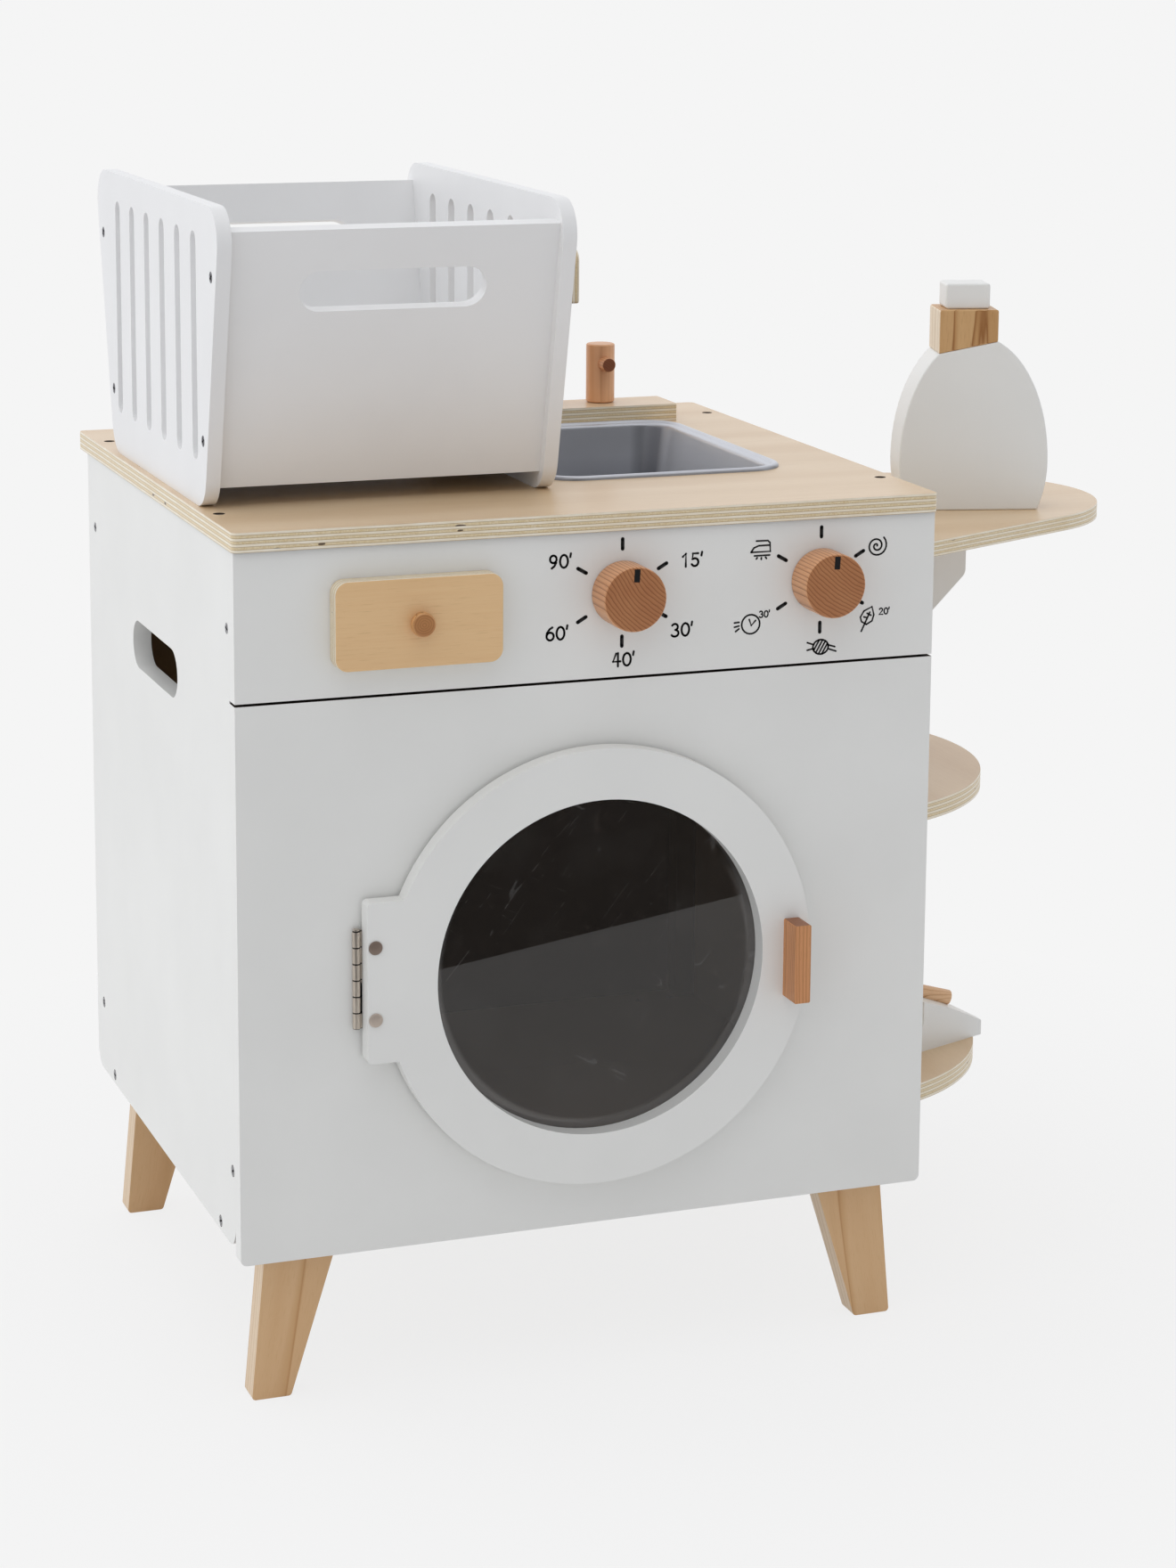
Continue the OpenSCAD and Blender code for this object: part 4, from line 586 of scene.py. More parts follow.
# ---------------------------------------------------------------- camera
camera_data = bpy.data.cameras.new("camera")
camera_data.sensor_width = 36
camera_data.lens = 82.78
camera_data.shift_y = -0.1477
camera_data.clip_end = 100
camera = linked_object("camera", camera_data)
right = Vector((0.93857, -0.34503, 0.00671)).normalized()
forward = Vector((0.34026, 0.92199, -0.1848)).normalized()
up = right.cross(forward)
camera.matrix_world = Matrix((right, up, -forward)).transposed().to_4x4()
camera.location = at(-518.46, -2000.32, 826.51)
bpy.context.scene.camera = camera


# ---------------------------------------------------------------- white boards
def in_recess(polygon, spots):
    """Whether a face is a wall of one of the screw recesses around these spots."""
    return any((polygon.center - spot).length < 5 * MM for spot in spots)


shaded_low_recesses = [at(x, y, z) for x in (0, cabinet["w"]) for y, z in side_screws if z < 60]
shaded_top_recesses = [at(x, y, top_z) for x, y in top_screws]
seam = at(0, 0, cabinet["h"] - cabinet["fascia"]).z


def inner_side(sign):
    """Side panels: white outside, bare fibreboard inside, and dark fibreboard as painted shade in the low
    screws' recesses.
    """

    def choose(polygon):
        if polygon.normal.x * sign > 0.9:
            return 1
        return 2 if in_recess(polygon, shaded_low_recesses) else 0

    return choose


def front_board(polygon):
    """Front boards: white, but dark inside, along their seam and in the round opening, where the
    sawn edge is bare."""
    beside_seam = abs(polygon.center.z - seam) < 2 * MM and abs(polygon.normal.z) > 0.3
    reach = polygon.center - at(door["x"], 0, door["z"])
    in_opening = math.hypot(reach.x, reach.z) < door["opening"] * MM and abs(polygon.normal.y) < 0.9
    return 1 if polygon.normal.y > 0.9 or beside_seam or in_opening else 0


dress("left_side", 0.8, [WHITE, BROWN_BOARD, DARK], inner_side(1))
dress("right_side", 0.8, [WHITE, BROWN_BOARD, DARK], inner_side(-1))
dress("lower_front", 0.6, [WHITE, DARK], front_board)
dress("fascia", 0.6, [WHITE, DARK], front_board)
dress("back_panel", 1.0, [WHITE, SHADED_BACK_BOARD], lambda polygon: 1 if polygon.normal.y < -0.9 else 0)
bottom = dress("bottom_panel", 0.6, [BROWN_BOARD])
# its back edge reaches 6 mm under the back panel, so that no light comes in between them
for vertex in bottom.data.vertices:
    if vertex.co.y > at(0, 373, 0).y:
        vertex.co.y += 6 * MM
for node, radius_mm, coat, segments in (
    ("door_ring", 1.3, WHITE, 3),
    ("board_bracket", 1.5, WHITE, 3),
    ("basket_left_side", 0.9, BASKET_WHITE, 3),
    ("basket_right_side", 0.9, BASKET_WHITE, 3),
    ("basket_front", 0.8, BASKET_WHITE, 3),
    ("basket_back", 0.8, BASKET_WHITE, 3),
    ("basket_floor", 0.8, BASKET_WHITE, 3),
    ("bottle_body", 1.2, WHITE, 4),
    ("bottle_cap", 1.4, WHITE, 4),
    ("iron_body", 1.8, WHITE, 4),
):
    dress(node, radius_mm, [coat], segments=segments)

# ---------------------------------------------------------------- plywood
across, deep, level = (1, 0, 0), (0, 1, 0), (0, 0, 1)
level_faces = faces_along(level)


def worktop_faces(polygon):
    """Dark below, painted shade in the screws' recesses, veneer above and plies round the edge."""
    if polygon.normal.z < -0.9 or in_recess(polygon, shaded_top_recesses):
        return 2
    return level_faces(polygon)


worktop_edge = ply_edge("worktop_edge", at(0, 0, cabinet["h"]), worktop_t)
dress("worktop", 1.0, [TOP_VENEER, worktop_edge, DARK], worktop_faces)
for node, edge, face, low_mm, thickness in (
    ("tap_ledge", "ledge_edge", TOP_VENEER, top_z, 12),
    ("ironing_board", "ironing_board_edge", TOP_VENEER, 398.5, 10),
    ("middle_shelf", "middle_shelf_edge", SIDE_VENEER, 220, 12),
    ("bottom_shelf", "bottom_shelf_edge", SIDE_VENEER, 28, 12),
):
    dress(node, 1.0, [face, ply_edge(edge, at(0, 0, low_mm), thickness)], level_faces)
spout_edge = ply_edge("spout_edge", at(310, 0, 0), 12, across)
dress("spout", 1.2, [UPRIGHT_VENEER, spout_edge], faces_along(across))
drawer_edge = ply_edge("drawer_edge", at(0, -12.3, 0), 12, deep)
dress("drawer_front", 1.6, [PLATE_VENEER, drawer_edge], faces_along(deep), segments=4)
dress("drawer_tray", 0.6, [PLATE_VENEER])
dress("drawer_housing", 0.6, [DARK])

# ---------------------------------------------------------------- solid wood
PINE_TONES = ("#E5C193", "#DAB17F", "#CA9A62")
# paler pine for the faces on the left: painted light
LIT_PINE_TONES = ("#E9D3B6", "#E0C7A4", "#CBA97C")
COLLAR_TONES = ("#DDB681", "#CB9E66", "#A46F36")
# paler collar pine for its faces on the left: painted light
LIT_COLLAR_TONES = ("#F3E4CC", "#EAD7BA", "#D0B48C")
HANDLE_TONES = ("#DEA26C", "#CA8E56", "#A86F3E")
DIAL_TONES = ("#E3AE80", "#C88E5E", "#8A5732")
KNOB_TONES = ("#E0AD73", "#CE9A60", "#A87A48")
TAP_TONES = ("#ECBC90", "#E4B287", "#D8A478")
PEG_TONES = ("#E1AA7C", "#CF9668", "#AD7449")
DOWEL_TONES = ("#F2CDA4", "#E6BC92", "#C29669")


def lit_left_faces(polygon):
    """1 for the faces on the left, which take a paler wood as painted light from the left, and 0 for the
    others.
    """
    return 1 if polygon.normal.x < -0.6 else 0


def wooden(node, radius_mm, name, tones, shift, segments=2, angle=35, **grain):
    """A small piece in one wood, whose pith line passes a shift away from its middle."""
    low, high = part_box(node)
    wood = solid_wood(name, tones, (low + high) / 2 + Vector(shift), **grain)
    return dress(node, radius_mm, [wood], segments=segments, angle=angle)


lean = math.radians(9)
for node in ("leg_front_left", "leg_front_right", "leg_back_left", "leg_back_right"):
    low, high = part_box(node)
    side = -1 if node.endswith("left") else 1
    pith_y = high.y + 0.06 if "back" in node else low.y - 0.05
    pith = Vector(((low.x + high.x) / 2 + side * 0.012, pith_y, high.z))
    turn = (0, -side * lean, 0)
    pine = solid_wood(node + "_pine", PINE_TONES, pith, turn, 9, 0.7, end="#E8D8C4")
    # the left faces get a paler pine: painted light from the left
    lit_pine = solid_wood(node + "_sapwood", LIT_PINE_TONES, pith, turn, 5, 0.5)
    dress(node, 1.8, [pine, lit_pine], lit_left_faces)

dress("corner_battens", 0.8, [DARK])
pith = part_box("bottle_collar")[0] + Vector((0.02, -0.09, 0))
collar_pine = solid_wood("collar_pine", COLLAR_TONES, pith, ring=4.5, bend=1)
# the collar's left faces get a paler pine: painted light from the left
collar_lit_pine = solid_wood("collar_lit_pine", LIT_COLLAR_TONES, pith, ring=9, bend=1)
dress("bottle_collar", 1.0, [collar_pine, collar_lit_pine], lit_left_faces)
wooden(
    "door_handle", 1.0, "handle_beech", HANDLE_TONES, (0.09, 0.06, 0), segments=3,
    ring=1.8, fleck=0.15, end="#BCA890",
)
# grain that runs from front to back, or across
to_back, to_right = (quarter, 0, 0), (0, quarter, 0)
for side, shift in (("left", (0.055, 0, 0.05)), ("right", (0.06, 0, 0.075))):
    wooden(
        side + "_dial", 0.8, side + "_dial_beech", DIAL_TONES, shift, angle=40,
        turn=to_back, ring=2.3, bend=0.8, end="#D8C4AC",
    )
wooden(
    "drawer_knob", 0.6, "knob_beech", KNOB_TONES, (0, 0, 0), angle=50,
    turn=to_back, ring=1.5, bend=1.2, roughness=0.45, end="#DDCDBD",
)
for side in ("left", "right"):
    wooden(side + "_tap", 0.5, side + "_tap_beech", TAP_TONES, (0.03, 0.05, 0), ring=2.0)
    wooden(
        side + "_tap_peg", 0.4, side + "_peg_beech", PEG_TONES, (0.02, 0, 0.03),
        turn=to_back, ring=1.6, end="#A98876",
    )
wooden("iron_handle", 0.5, "dowel_beech", DOWEL_TONES, (0, 0.03, 0.02), turn=to_right, ring=2.4)

# ---------------------------------------------------------------- metal and window
low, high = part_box("hinge_frame_leaf")
# painted shade in the gaps between the knuckles
gap_shade = knuckle_gap_shade(low.z, (high.z - low.z) / knuckles, at(0, -1.6, 0).y)
hinge_steel = metal("nickel_plated_hinge", "#E8DDD0", "#D2C6B9", 0.3, (1, 1, 8), 0.6, gap_shade)
for node, material in (
    ("hinge_frame_leaf", hinge_steel),
    ("hinge_door_leaf", hinge_steel),
    ("hinge_pin", STEEL),
    ("catch_magnet", BOLT_STEEL),
    ("catch_plate", SCREW_STEEL),
    ("left_dial_bolt", SCREW_STEEL),
    ("right_dial_bolt", SCREW_STEEL),
    ("left_tap_bolt", SCREW_STEEL),
    ("right_tap_bolt", SCREW_STEEL),
):
    dress(node, 0.2, [material], segments=2)
hinge_middle = at(0, 0, 173.5).z
dress(
    "hinge_bolts", 0.4, [BOLT_STEEL, BRIGHT_BOLT],
    lambda polygon: 0 if polygon.center.z > hinge_middle else 1, segments=2,
)
dress("window_pane", 0.3, [GLASS], segments=2)


# ---------------------------------------------------------------- the sink
def rounded_loop(half_w, half_l, radius, height, count):
    """Points of a rectangle with round corners, count to each corner."""
    points = []
    for corner_index, (sx, sy) in enumerate(((1, 1), (-1, 1), (-1, -1), (1, -1))):
        for i in range(count + 1):
            angle = quarter * (corner_index + i / count)
            x = sx * (half_w - radius) + radius * math.cos(angle)
            y = sy * (half_l - radius) + radius * math.sin(angle)
            points.append(Vector((x, y, height)) * MM)
    return points


def join(tool, a, b, flip=False):
    """Faces between two rings of points, or the same faces the other way round."""
    for i in range(len(a)):
        j = (i + 1) % len(a)
        first, second = (j, i) if flip else (i, j)
        tool.faces.new((a[first], a[second], b[second], b[first]))


def sheet_side(tool, section, flip=False):
    """One side of the sink's sheet: a ring for each (inset, height) of its section, and the floor."""
    rings = []
    for inset, height in section:
        # the corners tighten as the walls go down
        radius = max(6.0, sink["corner"] - inset * 0.55)
        points = rounded_loop(sink["w"] / 2 - inset, sink["l"] / 2 - inset, radius, height, 14)
        rings.append([tool.verts.new(point) for point in points])
    for a, b in zip(rings, rings[1:]):
        join(tool, a, b, flip)
    tool.faces.new(list(reversed(rings[-1])) if flip else rings[-1])
    return rings


def pressed_sink():
    """Pressed sheet sink: rolled bead, flat flange, sloping walls and a floor with round edges. Its
    section has insets from the bead's outer edge and heights over the worktop."""
    bead, sheet = sink["bead"], sink["sheet"]
    flange, bend, slope, floor_bend = 2 * bead + 0.3, 3, 8.5, 14
    # the walls stop 15 mm above the sink's depth, where the floor's bend starts
    wall_foot = 15 - sink["depth"]
    # over the bead, from its outer foot to its inner side
    upper = []
    for i in range(8):
        angle = math.pi * (1 - i / 8)
        upper.append((bead + bead * math.cos(angle), bead * math.sin(angle) + 0.02))
    upper.append((flange, sheet * 0.8))
    for i in range(1, 5):
        angle = quarter * i / 4
        upper.append((flange + bend * math.sin(angle), sheet * 0.8 - bend * (1 - math.cos(angle))))
    foot_inset = 2 * bead + bend + slope
    wall = [upper[-1], (foot_inset, wall_foot)]
    floor = []
    for i in range(1, 9):
        angle = quarter * i / 8
        inset = foot_inset + floor_bend * (1 - math.cos(angle))
        floor.append((inset, wall_foot - floor_bend * math.sin(angle)))
    upper += wall[1:] + floor
    # underside, about a sheet's thickness away
    under = [(bead * 0.2, 0.02), (2 * bead + 1.2, 0.02)]
    under += [(inset - sheet, height - 0.2) for inset, height in wall]
    under += [(inset - sheet * 0.8, height - sheet * 0.6) for inset, height in floor[:-1]]
    under.append((floor[-1][0] - 0.2, floor[-1][1] - sheet))
    tool = bmesh.new()
    upper_rings = sheet_side(tool, upper)
    under_rings = sheet_side(tool, under, flip=True)
    join(tool, upper_rings[0], under_rings[0], flip=True)
    bmesh.ops.remove_doubles(tool, verts=tool.verts, dist=1e-7)
    bmesh.ops.recalc_face_normals(tool, faces=tool.faces)
    mesh = mesh_from(tool, "sink_pressed")
    mesh.transform(Matrix.Translation(at(sink["x"], sink["y"], top_z)))
    sharp_by_angle(mesh, 50)
    return finish_piece(new_object("sink_pressed", mesh, [SINK_STEEL]), "cabinet", ["sink"])


pressed_sink()


# ---------------------------------------------------------------- screws, with Geometry Nodes
def geometry_tree(name, inputs, result):
    """A Geometry Nodes tree with an output and with named inputs, each a kind and a value."""
    tree = bpy.data.node_groups.new(name, "GeometryNodeTree")
    for title, (kind, value) in inputs.items():
        socket = tree.interface.new_socket(name=title, in_out="INPUT", socket_type="NodeSocket" + kind)
        if value is not None:
            socket.default_value = value
    tree.interface.new_socket(name=result, in_out="OUTPUT", socket_type="NodeSocketGeometry")
    return tree, add(tree, "NodeGroupInput").outputs


def screw_tree():
    """Countersunk cross-head screws on points; each point's 'out' vector is the way its head faces."""
    sizes = {
        "Head Radius": 3.2, "Head Depth": 2.0, "Shank Radius": 1.5, "Length": 24.0,
        "Recess Length": 3.9, "Recess Width": 0.9, "Recess Depth": 1.2,
    }
    inputs = {"Points": ("Geometry", None)}
    inputs |= {title: ("Float", value * MM) for title, value in sizes.items()}
    inputs |= {"Seed": ("Int", 3), "Metal": ("Material", None)}
    tree, given = geometry_tree("cross_head_screws", inputs, "Screws")
    head = {"Vertices": 28, "Radius Top": given["Head Radius"], "Radius Bottom": given["Shank Radius"]}
    head["Depth"] = given["Head Depth"]
    head = add(tree, "GeometryNodeMeshCone", head, fill_type="NGON")
    sunk = add(tree, "ShaderNodeMath", {0: 0.0, 1: given["Head Depth"]}, operation="SUBTRACT")
    sunk = add(tree, "ShaderNodeCombineXYZ", {"Z": sunk})
    head = add(tree, "GeometryNodeTransform", {"Geometry": head, "Translation": sunk})
    shank = {"Vertices": 20, "Radius": given["Shank Radius"], "Depth": given["Length"]}
    shank = add(tree, "GeometryNodeMeshCylinder", shank, fill_type="NGON")
    # the shank starts 0.3 mm under the head's face
    down = add(tree, "ShaderNodeMath", {0: given["Length"], 1: -0.5}, operation="MULTIPLY")
    down = add(tree, "ShaderNodeMath", {0: down, 1: -0.3 * MM}, operation="ADD")
    down = add(tree, "ShaderNodeCombineXYZ", {"Z": down})
    shank = add(tree, "GeometryNodeTransform", {"Geometry": shank, "Translation": down})
    solid = add(tree, "GeometryNodeMeshBoolean", operation="UNION")
    for part in (head, shank):
        tree.links.new(part.outputs[0], solid.inputs["Mesh 2"])
    # the cross is two bars, centred on the head's face, so that half of each cuts into it
    depth = add(tree, "ShaderNodeMath", {0: given["Recess Depth"], 1: 2.0}, operation="MULTIPLY")
    size = {"X": given["Recess Length"], "Y": given["Recess Width"], "Z": depth}
    bar = add(tree, "GeometryNodeMeshCube", {"Size": add(tree, "ShaderNodeCombineXYZ", size)})
    cut = add(tree, "GeometryNodeMeshBoolean", {"Mesh 1": solid}, operation="DIFFERENCE")
    for turn in (0.0, quarter):
        turned = add(tree, "GeometryNodeTransform", {"Geometry": bar, "Rotation": (0, 0, turn)})
        tree.links.new(turned.outputs[0], cut.inputs["Mesh 2"])
    out_way = add(tree, "GeometryNodeInputNamedAttribute", {"Name": "out"}, data_type="FLOAT_VECTOR")
    aligned = add(tree, "FunctionNodeAlignRotationToVector", {"Vector": out_way}, axis="Z")
    on_points = {"Points": given["Points"], "Instance": cut, "Rotation": aligned}
    placed = add(tree, "GeometryNodeInstanceOnPoints", on_points)
    chance = {2: 0.0, 3: quarter, "Seed": given["Seed"]}
    chance = add(tree, "FunctionNodeRandomValue", chance, data_type="FLOAT").outputs[1]
    spin = add(tree, "ShaderNodeCombineXYZ", {"Z": chance})
    spun = add(tree, "GeometryNodeRotateInstances", {"Instances": placed, "Rotation": spin})
    real = add(tree, "GeometryNodeRealizeInstances", {"Geometry": spun})
    done = add(tree, "GeometryNodeSetMaterial", {"Geometry": real, "Material": given["Metal"]})
    add(tree, "NodeGroupOutput", {"Screws": done})
    return tree


SCREWS = screw_tree()


def with_tree(name, mesh, tree, values):
    """Runs a Geometry Nodes tree on a mesh with named inputs, and leaves a plain object."""
    obj = linked_object(name, mesh)
    modifier = obj.modifiers.new("made", "NODES")
    modifier.node_group = tree
    for item in tree.interface.items_tree:
        if item.in_out == "INPUT" and item.name in values:
            modifier[item.identifier] = values[item.name]
    return settle(obj)


def screws(name, places, node, length=24.0, material=SCREW_STEEL, seed=3, **sizes):
    """Screws at (point, outward direction) places, standing for a CAD node."""
    mesh = bpy.data.meshes.new(name)
    mesh.from_pydata([p for p, _ in places], [], [])
    ways = mesh.attributes.new("out", "FLOAT_VECTOR", "POINT")
    for i, (_, way) in enumerate(places):
        ways.data[i].vector = way
    values = {"Length": length * MM, "Seed": seed, "Metal": material}
    values.update({key.replace("_", " ").title(): value * MM for key, value in sizes.items()})
    obj = with_tree(name, mesh, SCREWS, values)
    sharp_by_angle(obj.data, 35)
    return finish_piece(obj, body_of_node(node), [node])


LEFT = Vector((-1, 0, 0))
RIGHT = Vector((1, 0, 0))
FRONT = Vector((0, -1, 0))
BACK = Vector((0, 1, 0))
UP = Vector((0, 0, 1))
places = [(at(x, y, top_z - 1), UP) for x, y in top_screws]
for x, way in ((0, LEFT), (cabinet["w"], RIGHT)):
    places += [(at(x, y, z), way) for y, z in side_screws]
# the shelves, the ironing board and its bracket, from inside the right side panel
inside = cabinet["w"] - cabinet["board"]
places += [(at(inside, y, z), LEFT) for z in (226, 34, 403.5) for y in (125, 275)]
places += [(at(inside, 200, z), LEFT) for z in (272, 348.5)]
# two down into each leg
for x in (43.5, 406.5):
    for y in (27, 361):
        places += [(at(x + side, y, 18), UP) for side in (-11.75, 11.75)]
cabinet_set = screws("cabinet_screw_set", places, "cabinet_screws", recess_length=5.0, recess_width=1.2)
cabinet_set.data.materials.append(SHADED_SCREW_STEEL)
for polygon in cabinet_set.data.polygons:
    # painted shade: dark heads in the worktop and low in the sides, where the recesses are shaded
    if polygon.center.z > at(0, 0, 440).z or polygon.center.z < at(0, 0, 60).z:
        polygon.material_index = 1

# the basket's front and back lean outwards, from 10.5 mm over its foot to 16 mm under its top
panel_low, panel_gap, screw_side = 10.5, 16, 11.5
slant = math.atan((basket["top"] - basket["foot"]) / 2 / basket["h"])
panel_h = (basket["h"] - panel_low - panel_gap) / math.cos(slant)
places = []
for x, way in ((0, LEFT), (basket["w"], RIGHT)):
    for side in (-1, 1):
        foot = side * (basket["foot"] / 2 + panel_low * math.tan(slant))
        for share in (0.18, 0.82):
            y, z = -side * screw_side, panel_h * share
            turned_y = foot + y * math.cos(slant) + side * z * math.sin(slant)
            turned_z = panel_low + z * math.cos(slant) - side * y * math.sin(slant)
            places.append((at(basket["x"] + x, basket["y"] + turned_y, top_z + turned_z), way))
screws(
    "basket_screw_set", places, "basket_screws", material=GREY_SCREW, seed=8,
    head_radius=3.5, recess_length=5.2, recess_width=1.3,
)

places = []
for i in range(8):
    angle = 2 * math.pi * (i + 0.5) / 8
    x = door["x"] + door["pane_screws"] * math.cos(angle)
    z = door["z"] + door["pane_screws"] * math.sin(angle)
    places.append((at(x, 2.0, z), BACK))
screws("pane_screw_set", places, "pane_screws", length=7.0, head_radius=2.9, head_depth=1.4)
places = [(at(351.3, -2.4, 164 + side * 12.5), BACK) for side in (-1, 1)]
screws("handle_screw_set", places, "handle_screws", length=20.0)
places = [(at(86.5, -1.1, 173.5 + side * 15.25), FRONT) for side in (-1, 1)]
screws("hinge_screw_set", places, "hinge_screws", length=11.0)


# ---------------------------------------------------------------- printed marks, with Geometry Nodes
def stroke_tree():
    """Flat ink strokes with round ends along the edges of a drawing in XY."""
    inputs = {"Drawing": ("Geometry", None), "Width": ("Float", 1.0 * MM)}
    inputs |= {"Thickness": ("Float", 0.1 * MM), "Ink": ("Material", None)}
    tree, given = geometry_tree("ink_strokes", inputs, "Strokes")
    path = add(tree, "GeometryNodeMeshToCurve", {"Mesh": given["Drawing"]})
    path = add(tree, "GeometryNodeSetCurveNormal", {"Curve": path}, mode="Z_UP")
    section = {"Width": given["Width"], "Height": given["Thickness"]}
    section = add(tree, "GeometryNodeCurvePrimitiveQuadrilateral", section)
    band = {"Curve": path, "Profile Curve": section, "Fill Caps": True}
    band = add(tree, "GeometryNodeCurveToMesh", band)
    half = add(tree, "ShaderNodeMath", {0: given["Width"], 1: 0.5}, operation="MULTIPLY")
    dot = {"Vertices": 12, "Radius": half, "Depth": given["Thickness"]}
    dot = add(tree, "GeometryNodeMeshCylinder", dot, fill_type="NGON")
    dots = add(tree, "GeometryNodeInstanceOnPoints", {"Points": given["Drawing"], "Instance": dot})
    both = add(tree, "GeometryNodeJoinGeometry")
    for part in (band, dots):
        tree.links.new(part.outputs[0], both.inputs[0])
    real = add(tree, "GeometryNodeRealizeInstances", {"Geometry": both})
    done = add(tree, "GeometryNodeSetMaterial", {"Geometry": real, "Material": given["Ink"]})
    add(tree, "NodeGroupOutput", {"Strokes": done})
    return tree


STROKES = stroke_tree()


def arc(cx, cz, rx, rz, first, last, count=12):
    """Points on an oval's arc, in degrees."""
    angles = [math.radians(first + (last - first) * i / count) for i in range(count + 1)]
    return [(cx + rx * math.cos(angle), cz + rz * math.sin(angle)) for angle in angles]


# digits in a box 5 wide and 8 high, as lists of strokes
DIGITS = {
    "0": [arc(2.6, 4, 2.5, 3.9, 90, 450, 16)],
    "1": [[(1.0, 6.2), (3.0, 8.0), (3.0, 0)]],
    "2": [arc(2.4, 5.9, 2.1, 2.0, 165, -30, 9) + [(0.2, 0), (4.8, 0)]],
    "3": [arc(2.3, 6.0, 2.0, 1.9, 150, -80, 9) + arc(2.3, 2.1, 2.4, 2.1, 80, -150, 10)],
    "4": [[(3.4, 0), (3.4, 8.2)], [(2.2, 8.0), (0.2, 3.0), (5.0, 3.0)]],
    "5": [[(4.4, 7.9), (1.0, 7.9), (0.7, 4.4)] + arc(2.3, 2.5, 2.3, 2.4, 120, -150, 12)],
    "6": [[(4.0, 7.9), (2.2, 6.8), (0.6, 4.6)] + arc(2.6, 2.4, 2.3, 2.4, 170, 530, 14)],
    "9": [arc(2.4, 5.6, 2.1, 2.3, 20, 380, 14) + [(4.2, 3.4), (3.0, 1.2), (1.4, 0.1)]],
    "'": [[(0.4, 8.6), (0.0, 6.4)]],
}


def number(word, x, z, size=1.0):
    """Strokes of a number whose middle is at x, z on the fascia."""
    steps = [2.0 if c == "'" else 6.6 for c in word]
    width = sum(steps) - 1.6
    strokes, pen = [], x - width * size / 2
    for c, step in zip(word, steps):
        for stroke in DIGITS[c]:
            strokes.append([(pen + px * size, z + (pz - 4) * size) for px, pz in stroke])
        pen += step * size
    return strokes


def marks(name, strokes, width):
    """A printed drawing on the fascia: strokes in cabinet X and Z, mm."""
    points, edges = [], []
    for stroke in strokes:
        first = len(points)
        points += [Vector((px * MM, pz * MM, 0)) for px, pz in stroke]
        edges += [(i, i + 1) for i in range(first, len(points) - 1)]
    mesh = bpy.data.meshes.new(name)
    mesh.from_pydata(points, edges, [])
    obj = with_tree(name, mesh, STROKES, {"Width": width * MM, "Thickness": 0.12 * MM, "Ink": INK})
    # the drawing's Y becomes the cabinet's Z, and its Z faces the front, 0.05 mm before the fascia
    stand = Matrix(((1, 0, 0, 0), (0, 0, -1, 0), (0, 1, 0, 0), (0, 0, 0, 1)))
    obj.data.transform(Matrix.Translation(at(0, -0.05, 0)) @ stand)
    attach(obj, "cabinet")
    return obj


ticks = []
for x in (dials["left"], dials["right"]):
    for i in range(6):
        angle = math.radians(90 + 60 * i)
        ends = (27.0, 33.0)
        ticks.append([(x + r * math.cos(angle), dials["z"] + r * math.sin(angle)) for r in ends])
marks("dial_ticks", ticks, 2.3)
numbers = number("90'", 202, 421) + number("60'", 200, 377) + number("40'", 243, 358)
numbers += number("30'", 281, 374) + number("15'", 287, 417)
marks("dial_numbers", numbers, 1.35)

spiral = []
for i in range(45):
    t = i * 0.16
    reach = 0.3 + 0.95 * t
    spiral.append((410.5 + reach * math.cos(1.9 * t), 418.6 + reach * math.sin(1.9 * t)))
leaf = [
    [
        (404.6, 369.2), (401.2, 371.2), (400.4, 374.0), (402.8, 377.8), (408.2, 380.2), (409.6, 375.0),
        (408.4, 371.2), (404.6, 369.2),
    ],
    [(401.2, 365.0), (403.4, 369.6), (406.8, 376.8)],
    [(402.8, 374.0), (405.2, 373.4)],
    [(405.0, 376.2), (407.6, 374.8)],
]
ball = {"x": 373.8, "z": 357, "rx": 5.2, "rz": 4.6}
wool = [arc(ball["x"], ball["z"], ball["rx"], ball["rz"], 0, 360, 20)]
# threads across the ball, at 60 degrees
for shift in (-3.0, -1.0, 1.0, 3.0):
    reach = math.sqrt(ball["rz"] ** 2 - shift**2)
    x, z = ball["x"] + shift * 0.87, ball["z"] - shift * 0.5
    wool.append([(x + way * reach * 0.5, z + way * reach * 0.87) for way in (-1, 1)])
wool += [[(369.2, 358.6), (364.8, 360.2)], [(368.8, 356.2), (364.8, 355.4)]]
wool += [[(379.0, 357.9), (383.4, 356.5)], [(378.6, 355.6), (384.2, 353.6)]]
clock = [arc(326.6, 374.4, 6.0, 6.0, 0, 360, 22), [(325.6, 377.4), (327.0, 373.6), (329.8, 376.6)]]
clock += [[(315.8, 375.9), (318.8, 376.1)], [(315.8, 373.2), (318.8, 373.8)]]
clock += [[(316.6, 370.4), (318.8, 372.0)]]
iron = [
    [(326.1, 419.3), (338.9, 419.3), (338.6, 424.8), (337.2, 426.1), (329.6, 426.2)],
    [(326.1, 419.3), (328.0, 422.0), (331.3, 423.2), (338.5, 423.2)],
    [(328.4, 417.0), (338.5, 417.0)],
    [(330.3, 415.8), (329.7, 415.0)],
    [(333.0, 415.6), (333.0, 414.6)],
    [(335.8, 415.8), (336.4, 415.0)],
]
marks("dial_pictograms", [spiral] + leaf + wool + clock + iron, 1.1)
marks("small_numbers", number("30'", 335.6, 380.2, 0.5) + number("20'", 416.6, 376.9, 0.5), 0.85)


